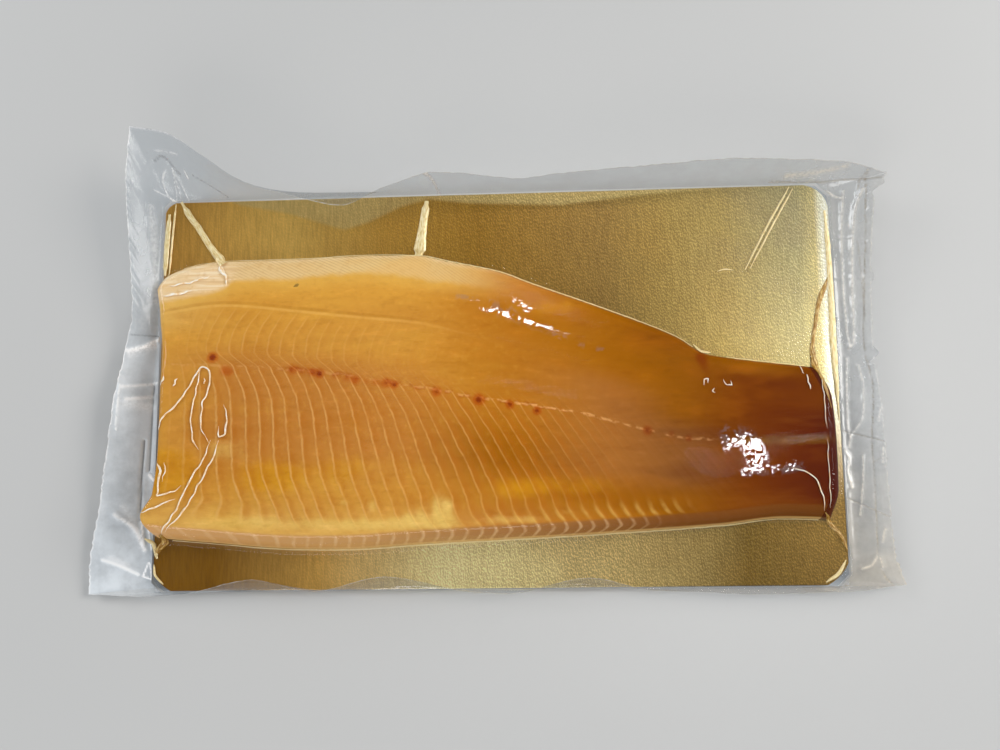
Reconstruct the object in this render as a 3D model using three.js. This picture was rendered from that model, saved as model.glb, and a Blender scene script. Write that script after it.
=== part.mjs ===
// A pack of smoked trout: one side of fish on a gold board in a clear vacuum pouch.
// Millimetres, +Z up. X runs from the head end to the tail and Y from the loin to the belly.
// Named places are measured from the middle of the board, and heights from the table.

import * as THREE from 'three';
import { mergeVertices } from 'three/addons/utils/BufferGeometryUtils.js';

const touchGap = 0.3;

// the board and its four cut corners
const boardLength = 270;
const boardWidth = 158;
const boardThickness = 1.5;
const boardBevel = 0.3;
const cornerCut = { frontLeft: 7, frontRight: 8, backRight: 9, backLeft: 4 };
const cornerBow = { frontLeft: 3, frontRight: 3, backRight: 6, backLeft: 4 };

// the pouch's film, which is two layers welded together beyond the board
const filmThickness = 0.6;
const filmStandOff = 1.15;
const filmCornerShare = 0.5;
const marginRows = 6;
const marginColumns = { front: 52, right: 20, back: 52, left: 22 };

// the pouch's free edge, [x, y, height], one open run a side, anticlockwise from above
const frontEdge = [
  [-160.5, -80, 2], [-138, -81, 3], [-122, -80, 4.5], [-94, -74.7, 8], [-71, -79.5, 5],
  [-42, -74, 8], [-9, -80.3, 5], [6, -81, 4.5], [36, -75.1, 8], [59, -80, 5],
  [78, -81, 4.5], [100, -82, 5], [133, -81.3, 5], [156, -79, 3],
];
const rightEdge = [
  [156, -79, 3], [152, -66, 4], [151, -40, 5], [149.8, -11, 7],
  [148.2, 12, 6], [148.6, 36, 7], [151, 70, 11], [156, 80, 12],
];
const backEdge = [
  [156, 80, 12], [136.5, 84, 16], [97, 84.4, 21], [66.5, 82.6, 22], [28, 80.5, 21],
  [12.5, 79.7, 19], [-20, 81.8, 22.9], [-42.5, 77.3, 19], [-58, 70, 21], [-81, 75.1, 23],
  [-96.5, 79.8, 25], [-111.5, 89.7, 28], [-129.5, 102, 23], [-144.5, 106, 20],
];
const leftEdge = [
  [-144.5, 106, 20], [-146.5, 83.5, 17], [-145, 36, 9], [-148.5, 16, 6],
  [-151, 0, 8], [-154, -24, 7], [-157, -47, 5], [-160.5, -70, 3], [-160.5, -80, 2],
];

// the side of fish seen from above: y of each long edge by x, and x of each end by v,
// where v is 0 on the belly edge and 1 on the loin edge
const bellyEdge = smoothRun([
  [-137, 41.8], [-132, 47.5], [-121, 51.4], [-108, 52.8], [-78, 53], [-51, 53.8], [-30, 53.2],
  [-17, 50.4], [3, 45.7], [16, 40.5], [45.5, 29.2], [72, 18], [84, 10.6], [88, 9.7],
  [106, 7], [133, 3.6],
]);
const loinEdge = smoothRun([
  [-137, -58], [-113, -60.2], [-75, -63.2], [-58, -63.4], [-27, -61.8], [18, -59.8],
  [46, -58.4], [87, -55.9], [110, -53.6], [133, -54.5],
]);
const headEnd = smoothRun([
  [0, -136.7], [0.15, -134.5], [0.4, -132], [0.7, -131], [0.84, -132.5], [0.92, -137], [1, -132],
]);
const tailEnd = smoothRun([[0, 127], [0.2, 131.8], [0.5, 132.5], [0.8, 132.2], [1, 128.5]]);
const midline = smoothRun([
  [-137, 9.5], [-108.5, 8.6], [-67, 4.9], [-37, 0], [-4, -6.4], [32, -12.5], [59, -19.6],
  [74, -23], [102, -24.3], [133, -24],
]);

// thickness of the flesh across v, at the thickest part and at the tail, and how the one
// gives way to the other along x
const bodySection = smoothRun([
  [0, 4.5], [0.1, 5.6], [0.19, 7.3], [0.23, 7.1], [0.42, 12.4], [0.6, 15.4], [0.8, 17], [1, 16],
]);
const tailSection = smoothRun([[0, 5], [0.5, 7], [1, 6.5]]);
const bodyShare = smoothRun([[-137, 0.93], [-60, 1], [20, 0.78], [70, 0.5], [110, 0.2], [133, 0]]);
const edgeRounding = { belly: 4, loin: 6, head: 3, tail: 4 };
const rimHeight = 1.3;
const undercut = { alongShare: 0.004, acrossShare: 0.011 };

// the fine walls between the muscle blocks: mesh columns follow them, and each stands proud
const wallCount = 52;
const wallRelief = 0.3;
const fleshRows = 26;
const endSteps = [0, 0.15, 0.5];
const wallSweepBelow = {
  head: smoothRun([[0, 0], [0.2, 6], [0.55, 8], [0.88, 19], [0.93, 20], [1, 17]]),
  tail: smoothRun([[0, 0], [0.25, 9], [0.5, 17], [0.75, 25], [0.93, 30], [1, 27]]),
};
const wallSweepAbove = smoothRun([[0, 0], [0.15, -7], [0.3, -6], [0.6, 4], [1, 15]]);

const filmFinish = { color: 0xc3ccd2, roughness: 0.15, metalness: 0, transparent: true, opacity: 0.3 };
const goldFinish = { color: 0xb9974f, roughness: 0.28, metalness: 0.85 };
const fleshFinish = { color: 0xc98a3c, roughness: 0.35, metalness: 0 };

// a curve through [place, value] stops that keeps between each stop and the next
function smoothRun(stops) {
  const last = stops.length - 1;
  const rise = (i) => (stops[i + 1][1] - stops[i][1]) / (stops[i + 1][0] - stops[i][0]);
  const slopes = stops.map((stop, i) => {
    if (i === 0) return rise(0);
    if (i === last) return rise(last - 1);
    const before = rise(i - 1);
    const after = rise(i);
    return before * after <= 0 ? 0 : (2 * before * after) / (before + after);
  });
  return (place) => {
    const x = THREE.MathUtils.clamp(place, stops[0][0], stops[last][0]);
    let i = 0;
    while (i < last - 1 && x > stops[i + 1][0]) i += 1;
    const width = stops[i + 1][0] - stops[i][0];
    const t = (x - stops[i][0]) / width;
    const turn = t * t * (3 - 2 * t);
    const leave = t * (1 - t) * (1 - t) * slopes[i] * width;
    const arrive = t * t * (t - 1) * slopes[i + 1] * width;
    return stops[i][1] * (1 - turn) + stops[i + 1][1] * turn + leave + arrive;
  };
}

function solidFrom(points, triangles) {
  const geometry = new THREE.BufferGeometry();
  const numbers = points.flatMap((point) => [point.x, point.y, point.z]);
  geometry.setAttribute('position', new THREE.Float32BufferAttribute(numbers, 3));
  geometry.setIndex(triangles);
  const merged = mergeVertices(geometry, 1e-4);
  merged.computeVertexNormals();
  return merged;
}

function namedMesh(name, geometry, finish) {
  const mesh = new THREE.Mesh(geometry, new THREE.MeshStandardMaterial(finish));
  mesh.name = name;
  return mesh;
}

// two triangles for each cell between two rows of vertex numbers, walked anticlockwise
function bandTriangles(lower, upper, closed) {
  const triangles = [];
  const steps = closed ? lower.length : lower.length - 1;
  for (let i = 0; i < steps; i += 1) {
    const next = (i + 1) % lower.length;
    triangles.push(lower[i], lower[next], upper[next], lower[i], upper[next], upper[i]);
  }
  return triangles;
}

// ---- board

// a corner of the board from one side's end to the next: a bow of 3 is nearly a straight cut
// and a bow of 6 a round
function turnCorner(outline, signX, signY, corner, alongXFirst) {
  const x = boardLength / 2 - boardBevel;
  const y = boardWidth / 2 - boardBevel;
  const cut = cornerCut[corner];
  const pull = cut / cornerBow[corner];
  const onLong = [signX * (x - cut), signY * y];
  const onShort = [signX * x, signY * (y - cut)];
  const [from, to] = alongXFirst ? [onLong, onShort] : [onShort, onLong];
  outline.lineTo(...from);
  outline.quadraticCurveTo(signX * (x - pull), signY * (y - pull), ...to);
}

function board() {
  const outline = new THREE.Shape();
  outline.moveTo(0, -boardWidth / 2 + boardBevel);
  turnCorner(outline, 1, -1, 'frontRight', true);
  turnCorner(outline, 1, 1, 'backRight', false);
  turnCorner(outline, -1, 1, 'backLeft', true);
  turnCorner(outline, -1, -1, 'frontLeft', false);
  const geometry = new THREE.ExtrudeGeometry(outline, {
    depth: boardThickness - 2 * boardBevel,
    bevelThickness: boardBevel,
    bevelSize: boardBevel,
    bevelSegments: 1,
    curveSegments: 5,
  });
  geometry.translate(0, 0, filmThickness + touchGap + boardBevel);
  return namedMesh('backing_board', geometry, goldFinish);
}

// ---- pouch

// pulls a point on the film's square foot back round the board's corner
function roundCorner(x, y) {
  const corner = (y < 0 ? 'front' : 'back') + (x < 0 ? 'Left' : 'Right');
  const clearance = 1.4 * filmStandOff;
  const reach = (boardLength + boardWidth) / 2 - filmCornerShare * cornerCut[corner] + clearance;
  const over = Math.max(0, (Math.abs(x) + Math.abs(y) - reach) / 2);
  return [x - Math.sign(x) * over, y - Math.sign(y) * over];
}

// where the film leaves the table beside the board, s along one side of the board
function filmFoot(side, s) {
  const x = boardLength / 2 + filmStandOff;
  const y = boardWidth / 2 + filmStandOff;
  const corners = [[-x, -y], [x, -y], [x, y], [-x, y]];
  const from = corners[side];
  const to = corners[(side + 1) % 4];
  const along = THREE.MathUtils.lerp;
  return roundCorner(along(from[0], to[0], s), along(from[1], to[1], s));
}

// one column of the film's middle surface, from the board out to the free edge
function filmColumn(side, edge, s) {
  const [footX, footY] = filmFoot(side, s);
  const free = edge.getPointAt(s);
  const low = filmThickness / 2;
  const reach = Math.hypot(free.x - footX, free.y - footY);
  const steep = free.z / (free.z + reach);
  const insideX = boardLength / 2 - Math.abs(free.x);
  const insideY = boardWidth / 2 - Math.abs(free.y);
  const overhang = Math.max(0, Math.min(insideX, insideY));
  const column = [];
  for (let row = 0; row <= marginRows; row += 1) {
    const t = row / marginRows;
    const out = t ** (1 + 1.2 * steep + 0.16 * overhang);
    const up = t ** (1.4 - 0.4 * steep);
    column.push(new THREE.Vector3(
      THREE.MathUtils.lerp(footX, free.x, out),
      THREE.MathUtils.lerp(footY, free.y, out),
      THREE.MathUtils.lerp(low, free.z, up),
    ));
  }
  return column;
}

function filmColumns() {
  const edges = [frontEdge, rightEdge, backEdge, leftEdge];
  const counts = [marginColumns.front, marginColumns.right, marginColumns.back, marginColumns.left];
  const columns = [];
  edges.forEach((stops, side) => {
    const points = stops.map((stop) => new THREE.Vector3(...stop));
    const edge = new THREE.CatmullRomCurve3(points, false, 'centripetal');
    for (let i = 0; i < counts[side]; i += 1) {
      columns.push(filmColumn(side, edge, i / counts[side]));
    }
  });
  return columns;
}

// the film's normal at one grid point, and at the foot the mitre of margin and floor sheet
function filmNormal(columns, i, row) {
  const total = columns.length;
  const around = columns[(i + 1) % total][row].clone().sub(columns[(i + total - 1) % total][row]);
  const above = columns[i][Math.min(row + 1, marginRows)];
  const below = columns[i][Math.max(row - 1, 0)];
  const normal = around.cross(above.clone().sub(below)).normalize().negate();
  if (row > 0) return normal;
  const up = new THREE.Vector3(0, 0, 1);
  return normal.clone().add(up).divideScalar(1 + normal.dot(up));
}

function pouch() {
  const columns = filmColumns();
  const total = columns.length;
  const points = [];
  const inner = [];
  const outer = [];
  for (let row = 0; row <= marginRows; row += 1) {
    inner.push([]);
    outer.push([]);
    for (let i = 0; i < total; i += 1) {
      const offset = filmNormal(columns, i, row).multiplyScalar(filmThickness / 2);
      inner[row].push(points.push(columns[i][row].clone().add(offset)) - 1);
      outer[row].push(points.push(columns[i][row].clone().sub(offset)) - 1);
    }
  }
  const triangles = [];
  for (let row = 0; row < marginRows; row += 1) {
    triangles.push(...bandTriangles(inner[row + 1], inner[row], true));
    triangles.push(...bandTriangles(outer[row], outer[row + 1], true));
  }
  triangles.push(...bandTriangles(outer[marginRows], inner[marginRows], true));
  const sheetTop = points.push(new THREE.Vector3(0, 0, filmThickness)) - 1;
  const sheetUnderside = points.push(new THREE.Vector3(0, 0, 0)) - 1;
  for (let i = 0; i < total; i += 1) {
    const next = (i + 1) % total;
    triangles.push(inner[0][i], inner[0][next], sheetTop);
    triangles.push(outer[0][next], outer[0][i], sheetUnderside);
  }
  return namedMesh('vacuum_pouch', solidFrom(points, triangles), filmFinish);
}

// ---- side of fish

// how far a muscle wall has swept towards the tail where it crosses v
function wallSweep(x, v) {
  const belly = bellyEdge(x);
  const loin = loinEdge(x);
  const middle = (midline(x) - belly) / (loin - belly);
  if (v < middle) return wallSweepAbove(1 - v / middle);
  const depth = (v - middle) / (1 - middle);
  const tailward = THREE.MathUtils.smoothstep(x, -110, 0);
  return THREE.MathUtils.lerp(wallSweepBelow.head(depth), wallSweepBelow.tail(depth), tailward);
}

function wallStrength(x) {
  const head = THREE.MathUtils.smoothstep(x, -137, -98);
  const tail = 1 - THREE.MathUtils.smoothstep(x, 55, 131);
  return head * tail;
}

function quarterRound(distance, radius) {
  const t = THREE.MathUtils.clamp(distance / radius, 0, 1);
  return Math.sqrt(1 - (1 - t) ** 2);
}

function fleshPoint(u, v, wallSide) {
  const head = headEnd(v);
  const tail = tailEnd(v);
  const straight = THREE.MathUtils.lerp(head, tail, u);
  const x = straight + wallSweep(straight, v) * wallStrength(straight);
  const belly = bellyEdge(x);
  const loin = loinEdge(x);
  const y = THREE.MathUtils.lerp(belly, loin, v);
  const share = bodyShare(x);
  const thickness = THREE.MathUtils.lerp(tailSection(v), bodySection(v), share);
  const round = quarterRound(belly - y, edgeRounding.belly)
    * quarterRound(y - loin, edgeRounding.loin)
    * quarterRound(x - head, edgeRounding.head)
    * quarterRound(tail - x, edgeRounding.tail);
  const relief = wallRelief * wallSide * wallStrength(x) * round * THREE.MathUtils.smoothstep(v, 0.2, 0.45);
  return new THREE.Vector3(x, y, rimHeight + (thickness - rimHeight) * round + relief);
}

function sideOfFish() {
  const lift = filmThickness + touchGap + boardThickness + touchGap;
  const last = wallCount * 2;
  const inside = Array.from({ length: last - 1 }, (unused, i) => i + 1);
  const stops = [...endSteps, ...inside, ...endSteps.map((step) => last - step).reverse()];
  const points = [];
  const places = [];
  const grid = [];
  for (let row = 0; row <= fleshRows; row += 1) {
    const even = row / fleshRows;
    const v = THREE.MathUtils.lerp(even, (1 - Math.cos(Math.PI * even)) / 2, 0.75);
    grid.push(stops.map((stop) => {
      const wallSide = Math.cos(Math.PI * stop);
      places.push([stop / last, v]);
      return points.push(fleshPoint(stop / last, v, wallSide)) - 1;
    }));
  }
  const triangles = [];
  for (let row = 0; row < fleshRows; row += 1) {
    triangles.push(...bandTriangles(grid[row + 1], grid[row], false));
  }
  const rim = [
    ...grid[fleshRows].slice(0, -1),
    ...grid.slice(1).reverse().map((row) => row.at(-1)),
    ...grid[0].slice(1).reverse(),
    ...grid.slice(0, -1).map((row) => row[0]),
  ];
  const foot = rim.map((n) => {
    const [u, v] = places[n];
    const along = THREE.MathUtils.lerp(undercut.alongShare, 1 - undercut.alongShare, u);
    const across = THREE.MathUtils.lerp(undercut.acrossShare, 1 - undercut.acrossShare, v);
    return points.push(fleshPoint(along, across, 0).setZ(0)) - 1;
  });
  triangles.push(...bandTriangles(foot, rim, true));
  const footLoop = foot.map((n) => new THREE.Vector2(points[n].x, points[n].y));
  THREE.ShapeUtils.triangulateShape(footLoop, []).forEach(([a, b, c]) => {
    triangles.push(foot[a], foot[c], foot[b]);
  });
  const mesh = namedMesh('trout_side', solidFrom(points, triangles), fleshFinish);
  mesh.position.z = lift;
  return mesh;
}

// the pack stands on the middle of its own box's underside
const pack = new THREE.Group();
pack.add(pouch(), board(), sideOfFish());
const box = new THREE.Box3().setFromObject(pack);
const middle = box.getCenter(new THREE.Vector3());
pack.position.set(-middle.x, -middle.y, -box.min.z);

export default pack;
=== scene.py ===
# Smoked trout in its vacuum pouch: fish, gold board, clear film, and the photo's camera.
# Named places are millimetres from the middle of the board, heights are above the table.
import math
import bmesh
import bpy
import numpy as np
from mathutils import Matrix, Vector


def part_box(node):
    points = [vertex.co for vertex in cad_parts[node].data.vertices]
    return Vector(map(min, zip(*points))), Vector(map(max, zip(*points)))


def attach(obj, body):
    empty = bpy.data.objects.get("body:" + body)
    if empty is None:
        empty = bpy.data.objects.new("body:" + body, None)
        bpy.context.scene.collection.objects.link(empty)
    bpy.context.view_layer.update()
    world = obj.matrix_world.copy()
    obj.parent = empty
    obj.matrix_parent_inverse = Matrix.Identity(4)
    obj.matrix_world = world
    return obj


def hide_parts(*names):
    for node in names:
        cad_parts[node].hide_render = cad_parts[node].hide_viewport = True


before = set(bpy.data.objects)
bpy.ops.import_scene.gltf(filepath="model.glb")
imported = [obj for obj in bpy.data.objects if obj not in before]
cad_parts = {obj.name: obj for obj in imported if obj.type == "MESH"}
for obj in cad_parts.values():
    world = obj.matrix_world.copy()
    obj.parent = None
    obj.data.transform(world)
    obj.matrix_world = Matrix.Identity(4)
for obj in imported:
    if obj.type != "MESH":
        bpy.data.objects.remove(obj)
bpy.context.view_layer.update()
mm = 0.001
boardLow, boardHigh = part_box("backing_board")
boardMiddle = (boardLow + boardHigh) / 2
boardHalf = (boardHigh - boardLow) / 2 / mm
boardTop = boardHigh.z / mm


# small helpers

def smoothRun(stops):  # a curve through [place, value] stops that never overshoots them
    places, values = np.array(stops, float).T
    rise = np.diff(values) / np.diff(places)
    slopes = np.empty(len(places))
    slopes[0], slopes[-1] = rise[0], rise[-1]
    total = rise[:-1] + rise[1:]
    safe = np.where(total == 0, 1, total)
    slopes[1:-1] = np.where(rise[:-1] * rise[1:] > 0, 2 * rise[:-1] * rise[1:] / safe, 0)

    def at(place):
        x = np.clip(place, places[0], places[-1])
        i = np.clip(np.searchsorted(places, x) - 1, 0, len(places) - 2)
        width = places[i + 1] - places[i]
        t = (x - places[i]) / width
        turn = t * t * (3 - 2 * t)
        leave = t * (1 - t) ** 2 * slopes[i] * width
        arrive = t * t * (t - 1) * slopes[i + 1] * width
        return values[i] * (1 - turn) + values[i + 1] * turn + leave + arrive
    return at


def straightRun(stops, place):  # straight between [place, value] stops
    places, values = np.array(stops, float).T
    return np.interp(place, places, values)


def smoothStep(x, low, high):
    t = np.clip((x - low) / (high - low), 0, 1)
    return t * t * (3 - 2 * t)


def mix(a, b, t):
    return a + (b - a) * t


def bell(distance, width):
    return np.exp(-(distance / width) ** 2)


def runLengths(points):  # how far along a run of points each one lies
    return np.concatenate([[0], np.cumsum(np.linalg.norm(np.diff(points, axis=0), axis=1))])


def smoothColumns(places, points, at):
    return np.column_stack([smoothRun(np.column_stack([places, column]))(at) for column in points.T])


def softPath(points, step=0.4):  # a smooth line through named points, in even steps
    points = np.array(points, float)
    chord = runLengths(points)
    return smoothColumns(chord, points, np.linspace(0, chord[-1], max(3, round(chord[-1] / step))))


def pathDistance(x, y, path, reach):  # distance to a line, for the points within reach of it
    distance = np.full(x.shape, float(reach))
    low, high = path[:, :2].min(axis=0) - reach, path[:, :2].max(axis=0) + reach
    near = np.flatnonzero((x > low[0]) & (x < high[0]) & (y > low[1]) & (y < high[1]))
    for start, end in zip(path[:-1, :2], path[1:, :2]):
        run = end - start
        fromX, fromY = x[near] - start[0], y[near] - start[1]
        along = np.clip((fromX * run[0] + fromY * run[1]) / max(run @ run, 1e-9), 0, 1)
        gap = np.hypot(fromX - along * run[0], fromY - along * run[1])
        distance[near] = np.minimum(distance[near], gap)
    return distance


def srgb(red, green, blue, alpha=1.0):  # a colour as a paint chart gives it, 0 to 255
    def linear(c):
        c = c / 255
        return c / 12.92 if c <= 0.04045 else ((c + 0.055) / 1.055) ** 2.4
    return (linear(red), linear(green), linear(blue), alpha)


def toWorld(points):  # millimetres from the board's middle to the frame's metres
    return points * mm + np.array([boardMiddle.x, boardMiddle.y, 0])


def deselectAll():
    if bpy.context.object and bpy.context.object.mode == "EDIT":
        bpy.ops.object.mode_set(mode="OBJECT")
    bpy.ops.object.select_all(action="DESELECT")


def addGrid(name, columns, rows):
    deselectAll()
    bpy.ops.mesh.primitive_grid_add(x_subdivisions=columns, y_subdivisions=rows, size=1)
    piece = bpy.context.object
    piece.name = piece.data.name = name
    return piece


def readPoints(piece):
    numbers = np.empty(len(piece.data.vertices) * 3)
    piece.data.vertices.foreach_get("co", numbers)
    return numbers.reshape(-1, 3)


def writePoints(piece, points):
    piece.data.vertices.foreach_set("co", points.ravel())
    piece.data.update()


def storeNumbers(piece, **fields):  # what the materials read at each point
    for name, values in fields.items():
        layer = piece.data.attributes.new(name, "FLOAT", "POINT")
        layer.data.foreach_set("value", values * np.ones(len(piece.data.vertices)))


def storeColour(piece, name, colours):
    layer = piece.data.attributes.new(name, "FLOAT_COLOR", "POINT")
    layer.data.foreach_set("color", np.column_stack([colours, np.ones(len(colours))]).ravel())


def openEdit(piece):
    deselectAll()
    piece.select_set(True)
    bpy.context.view_layer.objects.active = piece
    bpy.ops.object.mode_set(mode="EDIT")


def selectRim(piece):  # the open edges of the mesh
    bpy.ops.mesh.select_mode(type="EDGE")
    bpy.ops.mesh.select_all(action="DESELECT")
    mesh = bmesh.from_edit_mesh(piece.data)
    for edge in mesh.edges:
        edge.select_set(edge.is_boundary)
    bmesh.update_edit_mesh(piece.data)


def tidyMesh(piece, merge=0.00002):
    openEdit(piece)
    bpy.ops.mesh.select_all(action="SELECT")
    bpy.ops.mesh.remove_doubles(threshold=merge)
    bpy.ops.mesh.normals_make_consistent(inside=False)
    bpy.ops.object.mode_set(mode="OBJECT")


def finishPiece(piece, material, node=None):
    for face in piece.data.polygons:
        face.use_smooth = True
    piece.data.materials.clear()
    piece.data.materials.append(material)
    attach(piece, "root")
    if node:
        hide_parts(node)


# node helpers

def newMaterial(name):
    material = bpy.data.materials.new(name)
    material.use_nodes = True
    material.node_tree.nodes.clear()
    return material, material.node_tree


def feed(tree, socket, value):  # a number or colour is set, anything else is linked
    if isinstance(value, (int, float, tuple)):
        socket.default_value = value
    else:
        tree.links.new(value, socket)


def addNode(tree, kind, settings=None, **inputs):
    node = tree.nodes.new(kind)
    for name, value in (settings or {}).items():
        setattr(node, name, value)
    for name, value in inputs.items():
        feed(tree, node.inputs[name.replace("_", " ")], value)
    return node


def attribute(tree, name, output="Fac"):
    return addNode(tree, "ShaderNodeAttribute", {"attribute_name": name}).outputs[output]


def objectPlace(tree):
    return addNode(tree, "ShaderNodeTexCoord").outputs["Object"]


def mathNode(tree, operation, *values, clamp=False):
    node = addNode(tree, "ShaderNodeMath", {"operation": operation, "use_clamp": clamp})
    for socket, value in zip(node.inputs, values):
        feed(tree, socket, value)
    return node.outputs[0]


def times(tree, product, *values):
    for value in values:
        product = mathNode(tree, "MULTIPLY", product, value)
    return product


def spread(tree, value, low, high, start=0, end=1):  # a smooth step from one value to another
    return addNode(
        tree, "ShaderNodeMapRange", {"interpolation_type": "SMOOTHSTEP"},
        Value=value, From_Min=low, From_Max=high, To_Min=start, To_Max=end,
    ).outputs["Result"]


def noise(tree, place, scale, detail, roughness, distortion=0):
    return addNode(
        tree, "ShaderNodeTexNoise",
        Vector=place, Scale=scale, Detail=detail, Roughness=roughness, Distortion=distortion,
    ).outputs["Fac"]


def stretch(tree, place, sizes, shift=(0, 0, 0)):
    node = addNode(tree, "ShaderNodeMapping", Vector=place, Scale=sizes, Location=shift)
    return node.outputs["Vector"]


def ramp(tree, value, stops):
    node = addNode(tree, "ShaderNodeValToRGB", Fac=value)
    elements = node.color_ramp.elements
    while len(elements) < len(stops):
        elements.new(0.5)
    for element, (place, colour) in zip(elements, stops):
        element.position = place
        element.color = colour
    return node.outputs["Color"]


def toneRamp(tree, value, stops):
    return ramp(tree, value, [(place, srgb(*tone)) for place, tone in stops])


def mixColour(tree, share, first, second, blend="MIX"):
    node = addNode(tree, "ShaderNodeMix", {"data_type": "RGBA", "blend_type": blend})
    for number, value in ((0, share), (6, first), (7, second)):
        feed(tree, node.inputs[number], value)
    return node.outputs[2]


def mixShaders(tree, share, first, second):
    node = addNode(tree, "ShaderNodeMixShader")
    for socket, value in zip(node.inputs, (share, first, second)):
        feed(tree, socket, value)
    return node.outputs["Shader"]


def bumpNormal(tree, height, strength, distance):
    bump = addNode(tree, "ShaderNodeBump", Height=height, Strength=strength, Distance=distance)
    return bump.outputs["Normal"]


def showSurface(tree, shader):  # ends a material
    addNode(tree, "ShaderNodeOutputMaterial", Surface=shader)


def showPrincipled(tree, **inputs):
    showSurface(tree, addNode(tree, "ShaderNodeBsdfPrincipled", **inputs).outputs["BSDF"])


# the side of fish

trout = {
    "lift": boardTop + 0.3,
    "length": 274,
    "columnsPerWall": 9,
    "rows": 150,
    "wallCount": 52,
    "wallRelief": 0.12,
    "rimHeight": 1.3,
    "rounding": {"belly": 4, "loin": 6, "head": 3, "tail": 4},
    "undercut": 0.991,  # the skin side's size, against the top, about its middle
    "undercutMiddle": -5,
    "edgeRows": 0.75,  # how far the rows crowd towards the two edges
    "reliefFrom": (0.2, 0.45),
}
# where the walls come and go: places along the side, distances from the loin edge, and shares
walls = {
    "grow": (-137, -98), "fade": (55, 131), "leanGrow": (-110, 0),
    "aboveRun": (-85, -15), "aboveShares": (0.5, 0.06),
    "fatRun": (-60, 0), "fatShares": (0.05, 0.75), "fatOuter": (13, 8), "fatInner": (4.5, 6),
    "rightRun": (12, 62), "rightBand": (6, 16), "rightDrop": 0.9, "tailRun": (40, 72), "tailDrop": 0.95,
    "teethInner": (5, 6.5), "teethOuter": (13, 7), "teethGrow": (-30, 15), "teethFade": (82, 60),
    "hatchLean": 1.9, "hatchStep": 2.4,
}
bellyEdge = smoothRun([
    [-137, 41.8], [-132, 47.5], [-121, 51.4], [-108, 52.8], [-78, 53], [-51, 53.8], [-30, 53.2],
    [-17, 50.4], [3, 45.7], [16, 40.5], [45.5, 29.2], [72, 18], [84, 10.6], [88, 9.7],
    [106, 7], [133, 3.6],
])
loinEdge = smoothRun([
    [-137, -58], [-113, -60.2], [-75, -63.2], [-58, -63.4], [-27, -61.8], [18, -59.8],
    [46, -58.4], [87, -55.9], [110, -53.6], [133, -54.5],
])
headEnd = smoothRun([
    [0, -136.7], [0.15, -134.5], [0.4, -132], [0.7, -131], [0.84, -132.5], [0.92, -137], [1, -132],
])
tailEnd = smoothRun([[0, 127], [0.2, 131.8], [0.5, 132.5], [0.8, 132.2], [1, 128.5]])
midline = smoothRun([
    [-137, 9.5], [-108.5, 8.6], [-67, 4.9], [-37, 0], [-4, -6.4], [32, -12.5], [59, -19.6],
    [74, -23], [102, -24.3], [133, -24],
])
flapLine = smoothRun([
    [-137, 30], [-108, 33.4], [-76, 30.2], [-53, 27.4], [-30, 24.8], [-13, 20.6], [30, 8],
])
rimLine = smoothRun([
    [-137, 35.5], [-120, 38], [-107, 41.4], [-104, 43.8], [-77, 44.5], [-50, 45.9], [-23, 42],
    [3, 38], [23, 35.1], [60, 22],
])
# thickness from the belly edge to the loin edge, and how much of the body's holds along the side
bodySection = smoothRun([
    [0, 4.5], [0.1, 5.6], [0.19, 7.3], [0.23, 7.1], [0.42, 12.4], [0.6, 15.4], [0.8, 17], [1, 16],
])
tailSection = smoothRun([[0, 5], [0.5, 7], [1, 6.5]])
bodyShare = smoothRun([[-137, 0.93], [-60, 1], [20, 0.78], [70, 0.5], [110, 0.2], [133, 0]])
# how far the walls sweep back, from the midline to an edge
sweepHead = smoothRun([[0, 0], [0.2, 5.5], [0.55, 7], [0.72, 12], [0.86, 21], [0.93, 24], [1, 19.5]])
sweepTail = smoothRun([[0, 0], [0.25, 9], [0.5, 17], [0.75, 25], [0.93, 31], [1, 26.5]])
sweepAbove = smoothRun([[0, 0], [0.15, -7], [0.3, -6], [0.6, 4], [1, 15]])

# dark points of blood along the midline: x, y, radius, strength
bloodSpots = [
    [-110, 11.9, 2.1, 1.15], [-104.6, 6.3, 2.6, 0.55], [-102, 5.6, 1.6, 0.4], [-77.4, 6.2, 2.4, 0.6],
    [-73.2, 5.4, 1.8, 0.35], [-69.9, 5, 1.7, 0.6], [-66.7, 4.3, 1.9, 1.0], [-61, 3, 1.8, 0.4],
    [-56.5, 2.2, 1.8, 0.4], [-52.7, 1.6, 2.3, 0.6], [-48.4, 0.8, 1.6, 0.35], [-45, 0.4, 1.8, 0.45],
    [-40.7, 0, 2.2, 0.75], [-37.2, -0.8, 1.6, 0.85], [-29, -2.4, 1.6, 0.35], [-20.9, -3.8, 2.1, 0.85],
    [-4.7, -7.1, 2.3, 1.05], [7.2, -9.3, 1.8, 0.95], [17.5, -11.8, 1.7, 0.95], [59.5, -19.9, 2.1, 0.8],
    [68.6, -21.2, 1.6, 0.45], [75, -23.2, 1.6, 0.55],
]
notchSpots = [[81.6, 9, 2.6, 0.9], [82.6, 5.6, 2.2, 0.45], [83.6, 2.4, 2.4, 0.25]]
darkFlecks = [
    [-78, 41.5, 0.75, 1.2], [-79, 41, 0.5, 0.8], [-106.4, -14.3, 0.55, 1.0], [-64, 9, 0.4, 0.7],
]
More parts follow.
